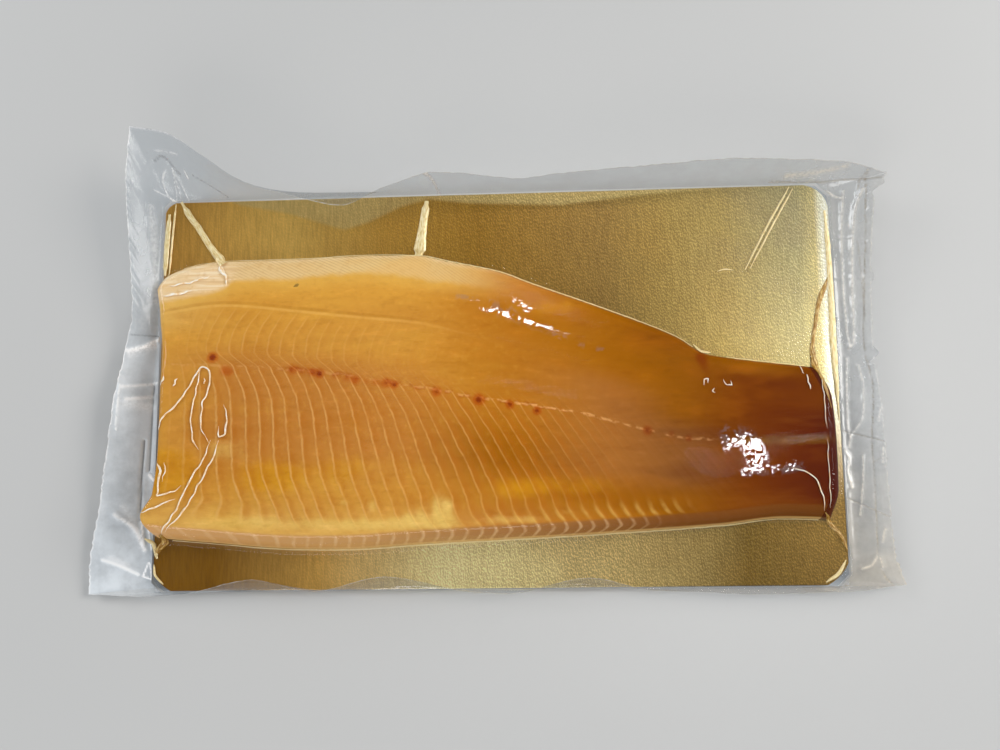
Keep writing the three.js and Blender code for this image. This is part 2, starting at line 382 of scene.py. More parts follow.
# pale and deep patches: x, y, half length, half width, strength
fatPatches = [
    [-18.5, -49, 4.5, 6, 1.0], [-29, -50.5, 5, 3.5, 0.5], [-45.2, -47.3, 3.4, 3.2, 0.6],
    [-55.5, -46, 3, 1.6, 0.5], [-95, -52.5, 30, 3.5, 0.6], [-40, -54.5, 36, 3.2, 0.7],
    [10, -53, 14, 2.4, 0.5], [30, -50, 7, 2, 0.4], [-102, -25, 14, 7, 0.55], [-24, -33, 4, 9, 0.3],
]
deepPatches = [
    [-84, -36, 16, 7, 0.9], [-118, -33, 8, 10, 0.8], [-55, -34, 12, 7, 0.5], [8, -42, 13, 5, 0.55],
    [-52, -15, 5, 9, 0.3], [-30, -20, 6, 9, 0.25], [-128, -33, 5, 8, 1.3], [22, 30, 24, 4, 0.5],
    [32, -40, 26, 6, 0.4],
]
fleshTones = {
    "straw": (222, 172, 86), "honey": (214, 154, 58), "gold": (206, 145, 55), "apricot": (190, 124, 50),
    "amber": (176, 111, 26), "rose": (156, 97, 38), "ochre": (152, 90, 4), "olive": (132, 75, 0),
    "mauve": (124, 74, 30), "umber": (104, 46, 0), "liver": (80, 20, 0),
}
# tones in lanes from the belly edge to the loin edge, at laneStops along the side
laneStops = [-130, -95, -45, 5, 45, 75, 100, 130]
lanesAbove = [0.06, 0.28, 0.5, 0.75, 1]  # shares of the way from the belly edge to the midline
lanesBelow = [0, 0.4, 0.7, 0.93]  # and from there to the loin edge
fleshLanes = [
    "straw honey honey apricot ochre olive olive umber",  # under the pale rim
    "straw honey honey amber ochre olive umber umber",  # the belly flap
    "straw honey gold amber ochre olive umber umber",  # along the flap's edge
    "honey gold gold amber rose olive umber liver",  # back
    "gold apricot apricot amber rose mauve umber liver",  # midline
    "gold apricot apricot ochre rose mauve umber liver",  # below it
    "gold gold gold amber ochre olive umber liver",  # the yellow zone
    "straw straw straw apricot amber olive umber umber",  # fat above the cut side
]


def sideShares(x, v):  # shares of the way to the midline and past it, and where the midline is
    belly, loin = bellyEdge(x), loinEdge(x)
    middle = (midline(x) - belly) / (loin - belly)
    return v / middle, (v - middle) / (1 - middle), middle


def wallSweep(x, v):
    toMidline, past, middle = sideShares(x, v)
    below = mix(sweepHead(past), sweepTail(past), smoothStep(x, *walls["leanGrow"]))
    return np.where(v < middle, sweepAbove(1 - toMidline), below)


def wallStrength(x):
    return smoothStep(x, *walls["grow"]) * (1 - smoothStep(x, *walls["fade"]))


def quarterRound(distance, radius):
    t = np.clip(distance / radius, 0, 1)
    return np.sqrt(1 - (1 - t) ** 2)


def fleshHeight(x, y):  # the flesh's top above its own underside
    belly, loin = bellyEdge(x), loinEdge(x)
    v = np.clip((y - belly) / (loin - belly), 0, 1)
    rounding = trout["rounding"]
    edges = (
        quarterRound(belly - y, rounding["belly"])
        * quarterRound(y - loin, rounding["loin"])
        * quarterRound(x - headEnd(v), rounding["head"])
        * quarterRound(tailEnd(v) - x, rounding["tail"])
    )
    thickness = mix(tailSection(v), bodySection(v), bodyShare(x))
    return trout["rimHeight"] + (thickness - trout["rimHeight"]) * edges, edges


def spotField(x, y, spots):
    field = np.zeros_like(x)
    for spotX, spotY, radius, strength in spots:
        field += strength * np.exp(-((x - spotX) ** 2 + (y - spotY) ** 2) / radius ** 2)
    return np.clip(field, 0, 1)


def patchField(x, y, patches):
    field = np.zeros_like(x)
    for middleX, middleY, halfLength, halfWidth, strength in patches:
        reach = ((x - middleX) / halfLength) ** 2 + ((y - middleY) / halfWidth) ** 2
        field += strength * np.exp(-reach)
    return np.clip(field, 0, 1)


def laneColours(x, v):
    toMidline, past, middle = sideShares(x, v)
    above = np.interp(toMidline, lanesAbove, np.arange(len(lanesAbove)))
    below = np.interp(past, lanesBelow, np.arange(len(lanesBelow))) + len(lanesAbove) - 1
    place = np.where(v < middle, above, below)
    lanes = np.empty((len(fleshLanes), len(x), 3))
    for number, tones in enumerate(fleshLanes):
        linear = np.array([srgb(*fleshTones[tone])[:3] for tone in tones.split()])
        for channel in range(3):
            lanes[number, :, channel] = smoothRun(np.column_stack([laneStops, linear[:, channel]]))(x)
    low = np.clip(np.floor(place).astype(int), 0, len(fleshLanes) - 2)
    turn = smoothStep(place - low, 0, 1)[:, None]
    pick = np.arange(len(x))
    return mix(lanes[low, pick], lanes[low + 1, pick], turn)


def wallShow(x, y):  # strong below the midline, thin above it, gone in the yellow fat
    fromLoin = y - loinEdge(x)
    above = mix(*walls["aboveShares"], smoothStep(x, *walls["aboveRun"]))
    above *= smoothStep(flapLine(x) - y, -1, 5)
    inFat = smoothStep(fromLoin, *walls["fatOuter"]) * smoothStep(fromLoin, *walls["fatInner"])
    below = mix(1.0, mix(*walls["fatShares"], smoothStep(x, *walls["fatRun"])), inFat)
    inRight = smoothStep(x, *walls["rightRun"]) * smoothStep(fromLoin, *walls["rightBand"])
    below *= 1 - walls["rightDrop"] * inRight
    below *= 1 - walls["tailDrop"] * smoothStep(x, *walls["tailRun"])
    return wallStrength(x) * mix(below, above, smoothStep(y - midline(x), -1, 3))


def teethShow(x, fromLoin):  # the walls' ends along the loin edge
    band = smoothStep(fromLoin, *walls["teethInner"]) * smoothStep(fromLoin, *walls["teethOuter"])
    return band * smoothStep(x, *walls["teethGrow"]) * smoothStep(x, *walls["teethFade"])


def buildTrout():
    piece = addGrid("troutFlesh", trout["wallCount"] * trout["columnsPerWall"], trout["rows"])
    start = readPoints(piece)
    u = start[:, 0] + 0.5
    even = 0.5 - start[:, 1]
    v = mix(even, (1 - np.cos(math.pi * even)) / 2, trout["edgeRows"])
    straight = mix(headEnd(v), tailEnd(v), u)
    x = straight + wallSweep(straight, v) * wallStrength(straight)
    belly, loin = bellyEdge(x), loinEdge(x)
    y = mix(belly, loin, v)
    height, edges = fleshHeight(x, y)
    phase = u * trout["wallCount"]
    ridge = (0.5 + 0.5 * np.cos(2 * math.pi * phase)) ** 3
    relief = trout["wallRelief"] * ridge * wallStrength(x) * edges
    height += relief * smoothStep(v, *trout["reliefFrom"])
    writePoints(piece, toWorld(np.column_stack([x, y, trout["lift"] + height])))
    storeNumbers(
        piece, along=x, wallPhase=phase, wallShow=wallShow(x, y), teeth=teethShow(x, y - loin),
        fromMidline=y - midline(x), fromFlap=y - flapLine(x), fromRim=y - rimLine(x),
        fromBelly=belly - y, fromLoin=y - loin, fromTail=tailEnd(v) - x, fromHead=x - headEnd(v),
        rimHatch=(x - walls["hatchLean"] * (belly - y)) / walls["hatchStep"],
        notch=spotField(x, y, notchSpots), blood=spotField(x, y, bloodSpots),
        fleck=spotField(x, y, darkFlecks), fat=patchField(x, y, fatPatches),
        deep=patchField(x, y, deepPatches),
    )
    storeColour(piece, "laneColour", laneColours(x, v))

    # the skin side: the rim goes straight down, tucks under and is closed flat
    openEdit(piece)
    selectRim(piece)
    bpy.ops.mesh.extrude_region_move(TRANSFORM_OT_translate={"value": (0, 0, 0)})
    mesh = bmesh.from_edit_mesh(piece.data)
    for vertex in mesh.verts:
        if vertex.select:
            vertex.co.z = trout["lift"] * mm
    bmesh.update_edit_mesh(piece.data)
    bpy.ops.transform.resize(
        value=(trout["undercut"], trout["undercut"], 1),
        center_override=(boardMiddle.x, boardMiddle.y + trout["undercutMiddle"] * mm, 0),
    )
    bpy.ops.mesh.edge_face_add()
    bpy.ops.object.mode_set(mode="OBJECT")
    tidyMesh(piece, merge=0.00001)
    return piece


# tones laid over the lanes: each tone, then how its pattern's values become its share
fleshInks = {
    "deepPatch": [(206, 142, 18), (0.2, 0.8, 0, 0.75)],
    "fatPatch": [(232, 196, 106), (0.25, 0.85, 0, 0.82)],
    "darkCloud": [(176, 100, 12), (0.5, 0.78, 0, 0.3)],
    "paleCloud": [(224, 172, 64), (0.48, 0.25, 0, 0.22)],
    "darkMottle": [(160, 88, 10), (0.52, 0.75, 0, 0.16)],
    "paleMottle": [(230, 180, 76), (0.48, 0.28, 0, 0.14)],
    "paleStreak": [(150, 88, 20), (0.5, 0.75, 0, 0.3)],
    "darkStreak": [(78, 18, 0), (0.5, 0.28, 0, 0.4)],
    "tooth": [(226, 184, 92), (0.3, 0.06, 0, 0.42)],
    "blockShade": [(178, 98, 14), (0.75, 0.2, 0, 0.42)],
    "thread": [(226, 170, 104), (0.8, 0.15, 0, 0.8)],
    "tailStripe": [(114, 78, 20), (2.4, 0.8, 0, 0.5)],
    "notch": [(112, 40, 0), (0.05, 0.9, 0, 0.75)],
    "fleck": [(44, 14, 4), (0.3, 0.7, 0, 0.9)],
    "flapRidge": [(230, 182, 96), (0.9, 0.15, 0, 0.4)],
    "flapShade": [(164, 92, 8), (1.0, 0.2, 0, 0.3)],
    "underRim": [(232, 186, 90), (-8, 0, 0, 0.45)],
    "rimEdge": [(246, 224, 180), (2.6, 0.6, 0, 0.5)],
    "paleMembrane": [(255, 242, 214), (0.5, 0.64, 0, 0.5)],
    "darkMembrane": [(206, 164, 120), (0.48, 0.36, 0, 0.4)],
    "rimHatch": [(186, 140, 92), (0.22, 0.04, 0, 0.55)],
    "rimMottle": [(206, 158, 98), (0.5, 0.7, 0, 0.35)],
    "rimCloud": [(226, 176, 100), (0.5, 0.7, 0, 0.4)],
    "sideLine": [(232, 192, 140), (0.2, 0.03, 0, 0.5)],
    "foot": [(232, 190, 118), (1.0, 0.4, 0, 0.7)],
    "endFace": [(236, 196, 130), (2.4, 0.2, 0, 1)],
    "liquor": [(66, 16, 4), (4.4, 3.8, 0, 0.8)],
}
# the same for what only tints the flesh: how red, green and blue are multiplied
fleshTints = {
    "paleFibre": [(1.14, 1.17, 1.35), (0.52, 0.72, 0, 0.7)],
    "darkFibre": [(0.86, 0.8, 0.7), (0.48, 0.28, 0, 0.7)],
    "clot": [(0.82, 0.58, 0.4), (0.5, 0.62, 0, 0.75)],
    "bloodHalo": [(0.86, 0.42, 0.12), (0.1, 0.6, 0, 0.75)],
    "bloodCore": [(0.42, 0.13, 0.08), (0.55, 0.95, 0, 0.85)],
}
# how marks fade along the side: from, to, and their strength at both ends
fleshFades = {
    "headward": (60, -40), "tailward": (30, 95, 0.15, 1), "wallLine": (-50, 25, 0.58, 0.42),
    "threadGrow": (-40, 30, 0.45, 1), "threadFade": (20, 75, 1, 0.4), "clotsGrow": (-88, -78),
    "clotsFade": (40, 10), "tailStripe": (84, 98), "flap": (5, -50), "rim": (14, -24),
    "membrane": (-98, -106), "rimHatch": (-107, -100), "headSide": (-90, -110, 0, 0.8),
}
# tones from the head end to the tail
wallTones = [(0, (226, 176, 108)), (0.5, (218, 160, 82)), (0.75, (186, 120, 46)), (1, (150, 90, 40))]
rimTones = [
    (0, (244, 216, 172)), (0.1, (238, 206, 160)), (0.13, (228, 196, 142)), (0.35, (226, 194, 132)),
    (0.55, (204, 160, 96)), (0.75, (170, 110, 40)),
]
sideTones = [
    (0, (218, 164, 104)), (0.3, (206, 154, 92)), (0.5, (174, 120, 64)), (0.75, (126, 74, 28)),
    (1, (104, 58, 14)),
]
# noises: scale (three numbers where it is drawn out along the side), detail and roughness
fleshGrains = {
    "wobble": (130, 3, 0.6), "ragged": (150, 3, 0.6), "mottle": (420, 3, 0.65),
    "breakUp": (190, 3, 0.65), "wander": (260, 3, 0.6), "clots": (300, 2, 0.6), "beads": (340, 2, 0.6),
    "cloud": ((30, 75, 75), 3, 0.55), "streak": ((18, 95, 95), 4, 0.6),
    "fibre": ((120, 330, 330), 4, 0.65), "membrane": ((50, 620, 620), 2, 0.6),
    "relief": ((300, 800, 300), 2, 0.6),
}
fleshSurface = {
    "roughness": 0.5, "specular": 0.05, "bump": 0.4, "bumpDepth": 0.0004, "lineHeight": 0.6,
    "fibreHeight": 0.3,
}


def ink(tree, pattern, colour, name, *shares):  # lays a tone where its pattern and shares are high
    tone, steps = fleshInks[name]
    share = times(tree, spread(tree, pattern, *steps), *shares)
    return mixColour(tree, share, colour, srgb(*tone))


def tint(tree, pattern, colour, name, *shares):
    factors, steps = fleshTints[name]
    share = times(tree, spread(tree, pattern, *steps), *shares)
    return mixColour(tree, share, colour, (*factors, 1), "MULTIPLY")


def fade(tree, marks, name):
    return spread(tree, marks["along"], *fleshFades[name])


def fleshGrain(tree, place, name):  # one of the noises above
    scale, detail, roughness = fleshGrains[name]
    if isinstance(scale, tuple):
        place, scale = stretch(tree, place, scale), 1
    return noise(tree, place, scale, detail, roughness)


def centred(tree, value, width):  # a noise turned into a shift to both sides
    return mathNode(tree, "MULTIPLY_ADD", value, width, -width / 2)


def fleshMarks(tree):  # what the painting steps share
    place, along = objectPlace(tree), attribute(tree, "along")
    grains = {name: fleshGrain(tree, place, name) for name in fleshGrains}
    wobble = centred(tree, grains["wobble"], 0.36)
    phase = mathNode(tree, "ADD", attribute(tree, "wallPhase"), wobble)
    saw, show = mathNode(tree, "PINGPONG", phase, 0.5), attribute(tree, "wallShow")
    breakUp = spread(tree, grains["breakUp"], 0.32, 0.6, 0.35, 1)
    return grains | {
        "along": along,
        "share": mathNode(tree, "MULTIPLY_ADD", along, 1 / trout["length"], 0.5),
        "ragged": centred(tree, grains["ragged"], 0.6),
        "phase": phase,
        "saw": saw,
        "show": show,
        "breakUp": breakUp,
        "wallLine": times(tree, spread(tree, saw, 0.12, 0.015), show, breakUp),
    }


def paintGround(tree, marks, colour):  # fat and deep patches, clouds, mottling, streaks and fibre
    for name, patches in (("deepPatch", "deep"), ("fatPatch", "fat")):
        pattern = mathNode(tree, "ADD", attribute(tree, patches), marks["ragged"])
        colour = ink(tree, pattern, colour, name)
    headward, tailward = fade(tree, marks, "headward"), fade(tree, marks, "tailward")
    colour = ink(tree, marks["cloud"], colour, "darkCloud")
    colour = ink(tree, marks["cloud"], colour, "paleCloud", headward)
    colour = ink(tree, marks["mottle"], colour, "darkMottle", headward)
    colour = ink(tree, marks["mottle"], colour, "paleMottle", headward)
    colour = ink(tree, marks["streak"], colour, "paleStreak", tailward)
    colour = ink(tree, marks["streak"], colour, "darkStreak", tailward)
    colour = tint(tree, marks["fibre"], colour, "paleFibre")
    return tint(tree, marks["fibre"], colour, "darkFibre")


def paintWalls(tree, marks, colour):  # each wall a pale hairline, then amber that clears to the next
    line = marks["wallLine"]
    wallColour = toneRamp(tree, marks["share"], wallTones)
    colour = mixColour(tree, times(tree, line, fade(tree, marks, "wallLine")), colour, wallColour)
    colour = ink(tree, marks["saw"], colour, "tooth", attribute(tree, "teeth"), marks["breakUp"])
    block = mathNode(tree, "FRACT", marks["phase"])
    begin = spread(tree, block, 0.02, 0.16)
    return ink(tree, block, colour, "blockShade", begin, marks["show"], marks["breakUp"])


def paintMidline(tree, marks, colour):  # a wavering, beaded thread with its blood points
    shifted = mathNode(tree, "ADD", attribute(tree, "fromMidline"), centred(tree, marks["wander"], 1.8))
    distance = mathNode(tree, "ABSOLUTE", shifted)
    near = spread(tree, distance, 1.6, 0.4)
    clotsGrow, clotsFade = fade(tree, marks, "clotsGrow"), fade(tree, marks, "clotsFade")
    colour = tint(tree, marks["clots"], colour, "clot", near, clotsGrow, clotsFade)
    beads = spread(tree, marks["beads"], 0.42, 0.62, 0, 0.85)
    threadGrow, threadFade = fade(tree, marks, "threadGrow"), fade(tree, marks, "threadFade")
    colour = ink(tree, distance, colour, "thread", threadGrow, threadFade, beads)
    colour = ink(tree, distance, colour, "tailStripe", fade(tree, marks, "tailStripe"))
    blood = mathNode(tree, "MULTIPLY_ADD", marks["ragged"], 0.35, attribute(tree, "blood"))
    colour = tint(tree, blood, colour, "bloodHalo")
    colour = tint(tree, blood, colour, "bloodCore")
    colour = ink(tree, attribute(tree, "notch"), colour, "notch")
    return ink(tree, attribute(tree, "fleck"), colour, "fleck")


def paintFlap(tree, marks, colour):  # the belly flap's ridge, and its shadow 1.3 mm above
    fromFlap = attribute(tree, "fromFlap")
    flapShow = times(tree, fade(tree, marks, "flap"), marks["breakUp"])
    colour = ink(tree, mathNode(tree, "ABSOLUTE", fromFlap), colour, "flapRidge", flapShow)
    past = mathNode(tree, "ABSOLUTE", mathNode(tree, "ADD", fromFlap, -1.3))
    return ink(tree, past, colour, "flapShade", flapShow)


def paintRim(tree, marks, colour):  # the pale belly rim, hatched, with bare membrane at the head end
    fromRim = mathNode(tree, "MULTIPLY_ADD", marks["ragged"], 4.5, attribute(tree, "fromRim"))
    rimFade = fade(tree, marks, "rim")
    colour = ink(tree, fromRim, colour, "underRim", rimFade)
    rimColour = toneRamp(tree, marks["share"], rimTones)
    rimColour = ink(tree, attribute(tree, "fromBelly"), rimColour, "rimEdge")
    bare = fade(tree, marks, "membrane")
    rimColour = ink(tree, marks["membrane"], rimColour, "paleMembrane", bare)
    rimColour = ink(tree, marks["membrane"], rimColour, "darkMembrane", bare)
    hatch = mathNode(tree, "PINGPONG", attribute(tree, "rimHatch"), 0.5)
    rimColour = ink(tree, hatch, rimColour, "rimHatch", marks["breakUp"], fade(tree, marks, "rimHatch"))
    rimColour = ink(tree, marks["mottle"], rimColour, "rimMottle")
    rimColour = ink(tree, marks["cloud"], rimColour, "rimCloud")
    rim = times(tree, spread(tree, fromRim, -1.6, 1.6, 0, 0.92), rimFade)
    return mixColour(tree, rim, colour, rimColour)


def paintCutSides(tree, marks, colour):  # the loin side, the end face, and liquor past the tail
    fromLoin = attribute(tree, "fromLoin")
    sideShow = mathNode(tree, "MAXIMUM", marks["show"], fade(tree, marks, "headSide"))
    sideColour = toneRamp(tree, marks["share"], sideTones)
    sideColour = ink(tree, marks["saw"], sideColour, "sideLine", sideShow, marks["breakUp"])
    colour = mixColour(tree, spread(tree, fromLoin, 6, 4.6, 0, 0.94), colour, sideColour)
    colour = ink(tree, fromLoin, colour, "foot")
    broken = spread(tree, marks["fibre"], 0.4, 0.62, 0.1, 0.6)
    colour = ink(tree, attribute(tree, "fromHead"), colour, "endFace", broken)
    return ink(tree, attribute(tree, "fromTail"), colour, "liquor")


def fleshMaterial():
    material, tree = newMaterial("smokedFlesh")
    marks = fleshMarks(tree)
    colour = attribute(tree, "laneColour", "Color")
    for paint in (paintGround, paintWalls, paintMidline, paintFlap, paintRim, paintCutSides):
        colour = paint(tree, marks, colour)
    fibres = times(tree, marks["relief"], fleshSurface["fibreHeight"])
    height = mathNode(tree, "MULTIPLY_ADD", marks["wallLine"], fleshSurface["lineHeight"], fibres)
    showPrincipled(
        tree, Base_Color=colour, Roughness=fleshSurface["roughness"],
        Specular_IOR_Level=fleshSurface["specular"],
        Normal=bumpNormal(tree, height, fleshSurface["bump"], fleshSurface["bumpDepth"]),
    )
    return material


# the gold board

gold = {
    "tonesPerMetre": 3.6,  # the tone stops run along the board, 0.5 at its middle
    # painted reflection: the light and dark bands of these tones, and the near-white strip at the right
    # edge, stand for how the foil mirrors the lamps and the room
    "frontToneAndSheen": [
        (0, (142, 94, 4)), (0.1, (150, 101, 6)), (0.25, (224, 174, 86)), (0.43, (255, 233, 166)),
        (0.66, (211, 184, 118)), (0.85, (122, 96, 38)), (1, (146, 114, 54)),
    ],
    "backToneAndSheen": [
        (0.05, (202, 150, 63)), (0.2, (228, 183, 90)), (0.34, (183, 138, 53)), (0.48, (143, 105, 31)),
        (0.66, (133, 104, 48)), (0.83, (170, 144, 76)), (0.94, (174, 160, 105)),
        (0.965, (200, 182, 118)), (0.978, (255, 250, 220)),
    ],
    "arcBand": (60, 20),  # the band of y, its start and depth, that the mirrored arc lies in
    "arcTone": (206, 182, 118), "arcShare": 0.6,
    "cloudTone": (150, 112, 44), "cloudShare": 0.2,
    "brush": (1400, 130, 1400), "grain": (2000, 950, 2000), "lightShift": 0.3,
    "metallic": 0.68, "roughness": (0.29, 0.35), "bump": 0.03, "bumpDepth": 0.0002,
}
goldBrush = [(0.3, (0.86, 0.85, 0.82, 1)), (0.5, (1, 1, 1, 1)), (0.7, (1.12, 1.13, 1.16, 1))]
# painted shade and painted highlight of the embossed relief, as if lit from one side
reliefShading = [
    (0.38, (0.76, 0.75, 0.72, 1)), (0.47, (0.88, 0.88, 0.87, 1)), (0.53, (0.98, 0.98, 0.99, 1)),
    (0.59, (1.55, 1.55, 1.62, 1)),
]
flapMirror = [  # how deep the raised back margin shows in the foil: x, first y of the pale arc
    [-110, 80], [-104, 77.3], [-83, 72.9], [-66, 67.3], [-60, 65.5], [-50, 68.5], [-37, 74.5],
    [-26, 77.5], [-9, 75.4], [28, 73.5], [60, 76.7], [84, 78.3], [135, 80],
]


def mirrorArc(tree, share, back):  # where the foil mirrors the back margin
    first, band = gold["arcBand"]
    stops = []
    for x, y in flapMirror:
        depth = (y - first) / band
        stops.append((0.5 + gold["tonesPerMetre"] * mm * x, (depth, depth, depth, 1)))
    place = mathNode(tree, "MULTIPLY_ADD", back, 1 / (band * mm), -first / band)
    return spread(tree, mathNode(tree, "SUBTRACT", place, ramp(tree, share, stops)), -0.05, 0.06)


def goldMaterial():
    material, tree = newMaterial("goldBoard")
    place = objectPlace(tree)
    apart = addNode(tree, "ShaderNodeSeparateXYZ", Vector=place)
    scale = gold["tonesPerMetre"]
    share = mathNode(tree, "MULTIPLY_ADD", apart.outputs["X"], scale, 0.5 - scale * boardMiddle.x)
    back = mathNode(tree, "SUBTRACT", apart.outputs["Y"], boardMiddle.y)
    # the gold's tone with painted reflections, lighter and darker along the board
    front, behind = toneRamp(tree, share, gold["frontToneAndSheen"]), toneRamp(tree, share, gold["backToneAndSheen"])
    colour = mixColour(tree, spread(tree, back, -0.05, 0.01), front, behind)
    # painted reflection of the raised back margin in the foil
    arc = times(tree, mirrorArc(tree, share, back), gold["arcShare"])
    colour = mixColour(tree, arc, colour, srgb(*gold["arcTone"]))
    cloud = spread(tree, noise(tree, place, 34, 3, 0.55), 0.4, 0.7, 0, gold["cloudShare"])
    colour = mixColour(tree, cloud, colour, srgb(*gold["cloudTone"]))
    # fine embossing: brushed and smooth to the left, coarser and sparkling to the right; its relief is
    # painted shade and painted highlight, the grain less a copy shifted toward the light
    brushed = noise(tree, stretch(tree, place, gold["brush"]), 1, 2, 0.6)
    colour = mixColour(tree, 1, colour, ramp(tree, brushed, goldBrush), "MULTIPLY")
    grain, grainTowardLight = (
        noise(tree, stretch(tree, place, gold["grain"], (shift, shift, 0)), 1, 3, 0.55)
        for shift in (0, gold["lightShift"])
    )
    relief = mathNode(tree, "ADD", mathNode(tree, "SUBTRACT", grain, grainTowardLight), 0.5)
    coarse = spread(tree, share, 0.15, 0.6, 0.15, 0.9)
    colour = mixColour(tree, coarse, colour, ramp(tree, relief, reliefShading), "MULTIPLY")
    showPrincipled(
        tree, Base_Color=colour, Metallic=gold["metallic"],
        Roughness=spread(tree, grain, 0.3, 0.7, *gold["roughness"]),
        Normal=bumpNormal(tree, grain, gold["bump"], gold["bumpDepth"]),
    )
    return material


# clear film

film = {
    "skinGap": 0.35,  # between the upper film and what it lies on
    "skinEdge": 0.4,  # how far it reaches past the board
    "footHeight": 0.3,
    "cornerShare": 0.5,
    "cornerClearance": 0.5,
    "goldReflectionTone": (214, 198, 172),
    # tones of the fold lines: dark for seams and painted shade, white for painted highlights
    "markTones": [
        (0, (70, 72, 76)), (0.35, (150, 154, 158)), (0.5, (220, 226, 231)), (0.8, (250, 250, 250)),
    ],
}
# what the two films' surfaces differ in; ripple is its scale and detail
filmLooks = {
    "tightFilm": {
        "clear": (1, 1, 1, 1), "gloss": 0.03, "roughness": 0.04, "ripple": (560, 1), "bump": 0.24,
    },
    "weldedFilm": {
        "clear": (0.77, 0.8, 0.83, 1), "gloss": 0.06, "roughness": 0.12, "ripple": (260, 3),
        "bump": 0.3,
    },
}


def filmMaterial(name):
    look = filmLooks[name]
    material, tree = newMaterial(name)
    place, mark = objectPlace(tree), attribute(tree, "mark")
    ripple = noise(tree, place, *look["ripple"], 0.6)
    normal = bumpNormal(tree, times(tree, ripple, attribute(tree, "crinkle")), look["bump"], 0.0005)
    clear = addNode(tree, "ShaderNodeBsdfTransparent", Color=look["clear"]).outputs["BSDF"]

    # milk is haze all over a place, mark the line of a fold: white is a painted highlight, dark a
    # seam's line and the fold's painted shade
    shade = toneRamp(tree, mathNode(tree, "MULTIPLY_ADD", mark, 0.5, 0.5), film["markTones"])
    # painted reflection: the haze takes the gold's warm tone where the film mirrors the board
    shade = mixColour(tree, attribute(tree, "warmth"), shade, srgb(*film["goldReflectionTone"]))
    milky = addNode(tree, "ShaderNodeBsdfDiffuse", Color=shade, Normal=normal).outputs["BSDF"]
    cloud = spread(tree, noise(tree, place, 70, 4, 0.6), 0.3, 0.7, 0.75, 1.25)
    milk = times(tree, attribute(tree, "milk"), cloud)
    # the painted fold lines, broken up by a noise
    lineBreakUp = spread(tree, noise(tree, place, 700, 3, 0.65), 0.38, 0.6, 0.35, 1)
    lines = times(tree, mathNode(tree, "ABSOLUTE", mark), lineBreakUp)
    haze = mathNode(tree, "ADD", milk, lines, clamp=True)
    body = mixShaders(tree, haze, clear, milky)

    # the shine grows at a low angle, and stands in patches where a lamp glints
    facing = addNode(tree, "ShaderNodeLayerWeight", Blend=0.5, Normal=normal).outputs["Facing"]
    graze = mathNode(tree, "POWER", facing, 4)
    gloss = mathNode(tree, "MULTIPLY_ADD", graze, 0.6, look["gloss"], clamp=True)
    patches = spread(tree, noise(tree, place, 380, 2, 0.6, 1), 0.46, 0.52)
    glint = times(tree, attribute(tree, "glint"), patches, 0.24)
    shine = mathNode(tree, "ADD", times(tree, gloss, attribute(tree, "gloss")), glint, clamp=True)
    glossy = addNode(tree, "ShaderNodeBsdfGlossy", Roughness=look["roughness"], Normal=normal)
    showSurface(tree, mixShaders(tree, shine, body, glossy.outputs["BSDF"]))
    return material


cornerCut = {"frontLeft": 7, "frontRight": 8, "backRight": 9, "backLeft": 4}


def roundCorner(x, y):  # pulls points past a cut corner of the board back onto its line
    cut = np.where(
        y < 0,
        np.where(x < 0, cornerCut["frontLeft"], cornerCut["frontRight"]),
        np.where(x < 0, cornerCut["backLeft"], cornerCut["backRight"]),
    )
    reach = boardHalf.x + boardHalf.y - film["cornerShare"] * cut + film["cornerClearance"]
    over = np.maximum(0, (np.abs(x) + np.abs(y) - reach) / 2)
    return x - np.sign(x) * over, y - np.sign(y) * over


skin = {
    "cell": 1.0,
    "tentSlope": 5.0,  # the steepest that the film turns down
    "tentRounds": 12,
    "easeRounds": 3,  # how often it is eased where it leaves what it lies on
    "gloss": 0.48,
    "dulled": 0.45,  # what the dull spots take off the gloss
    # painted glare: milky haze over the board at the right stands in for the lamps' veil on the film
    "glare": 0.06,  # haze over the board at the right
    "slackMilk": 0.05,  # haze where the film hangs free
    "crinkleLeast": 0.08,
    # spots: x, y, radius, strength
    "crinkled": [[-122, -25, 22, 0.6], [84, -1, 10, 0.4]],
    "dull": [
        [100, -24, 42, 1], [10, 12, 42, 1], [45, 0, 42, 0.9], [128, 10, 12, 1], [-14, 58, 24, 0.7],
    ],
}


def pileHeight(x, y):  # what the film lies on: the board and the fish
    belly, loin = bellyEdge(x), loinEdge(x)
    v = np.clip((y - belly) / (loin - belly), 0, 1)
    inside = (y <= belly) & (y >= loin) & (x >= headEnd(v)) & (x <= tailEnd(v))
    height, _edges = fleshHeight(x, y)
    return np.where(inside, trout["lift"] + height, boardTop)


def drawSkin():  # heights of the upper film, drawn tight over board and fish
    width, depth = 2 * (boardHalf.x + film["skinEdge"]), 2 * (boardHalf.y + film["skinEdge"])
    columns, rows = round(width / skin["cell"]), round(depth / skin["cell"])
    x = np.linspace(-width / 2, width / 2, columns + 1)
    y = np.linspace(-depth / 2, depth / 2, rows + 1)
    gridX, gridY = np.meshgrid(x, y)
    pile = pileHeight(gridX, gridY)
    height = pile.copy()
    drop = skin["tentSlope"] * skin["cell"]
    around = [(down, across) for down in (0, 1, 2) for across in (0, 1, 2) if (down, across) != (1, 1)]
    for _ in range(skin["tentRounds"]):  # the film can't turn down more steeply than its tent slope
        padded = np.pad(height, 1, mode="edge")
        for down, across in around:
            near = padded[down:down + rows + 1, across:across + columns + 1]
            height = np.maximum(height, near - drop * math.hypot(down - 1, across - 1))
    for _ in range(skin["easeRounds"]):
        padded = np.pad(height, 1, mode="edge")
        sides = padded[:-2, 1:-1] + padded[2:, 1:-1] + padded[1:-1, :-2] + padded[1:-1, 2:]
        height = np.maximum(pile, 0.5 * height + 0.125 * sides)
    return {"x": x, "y": y, "height": height + film["skinGap"], "slack": height - pile}


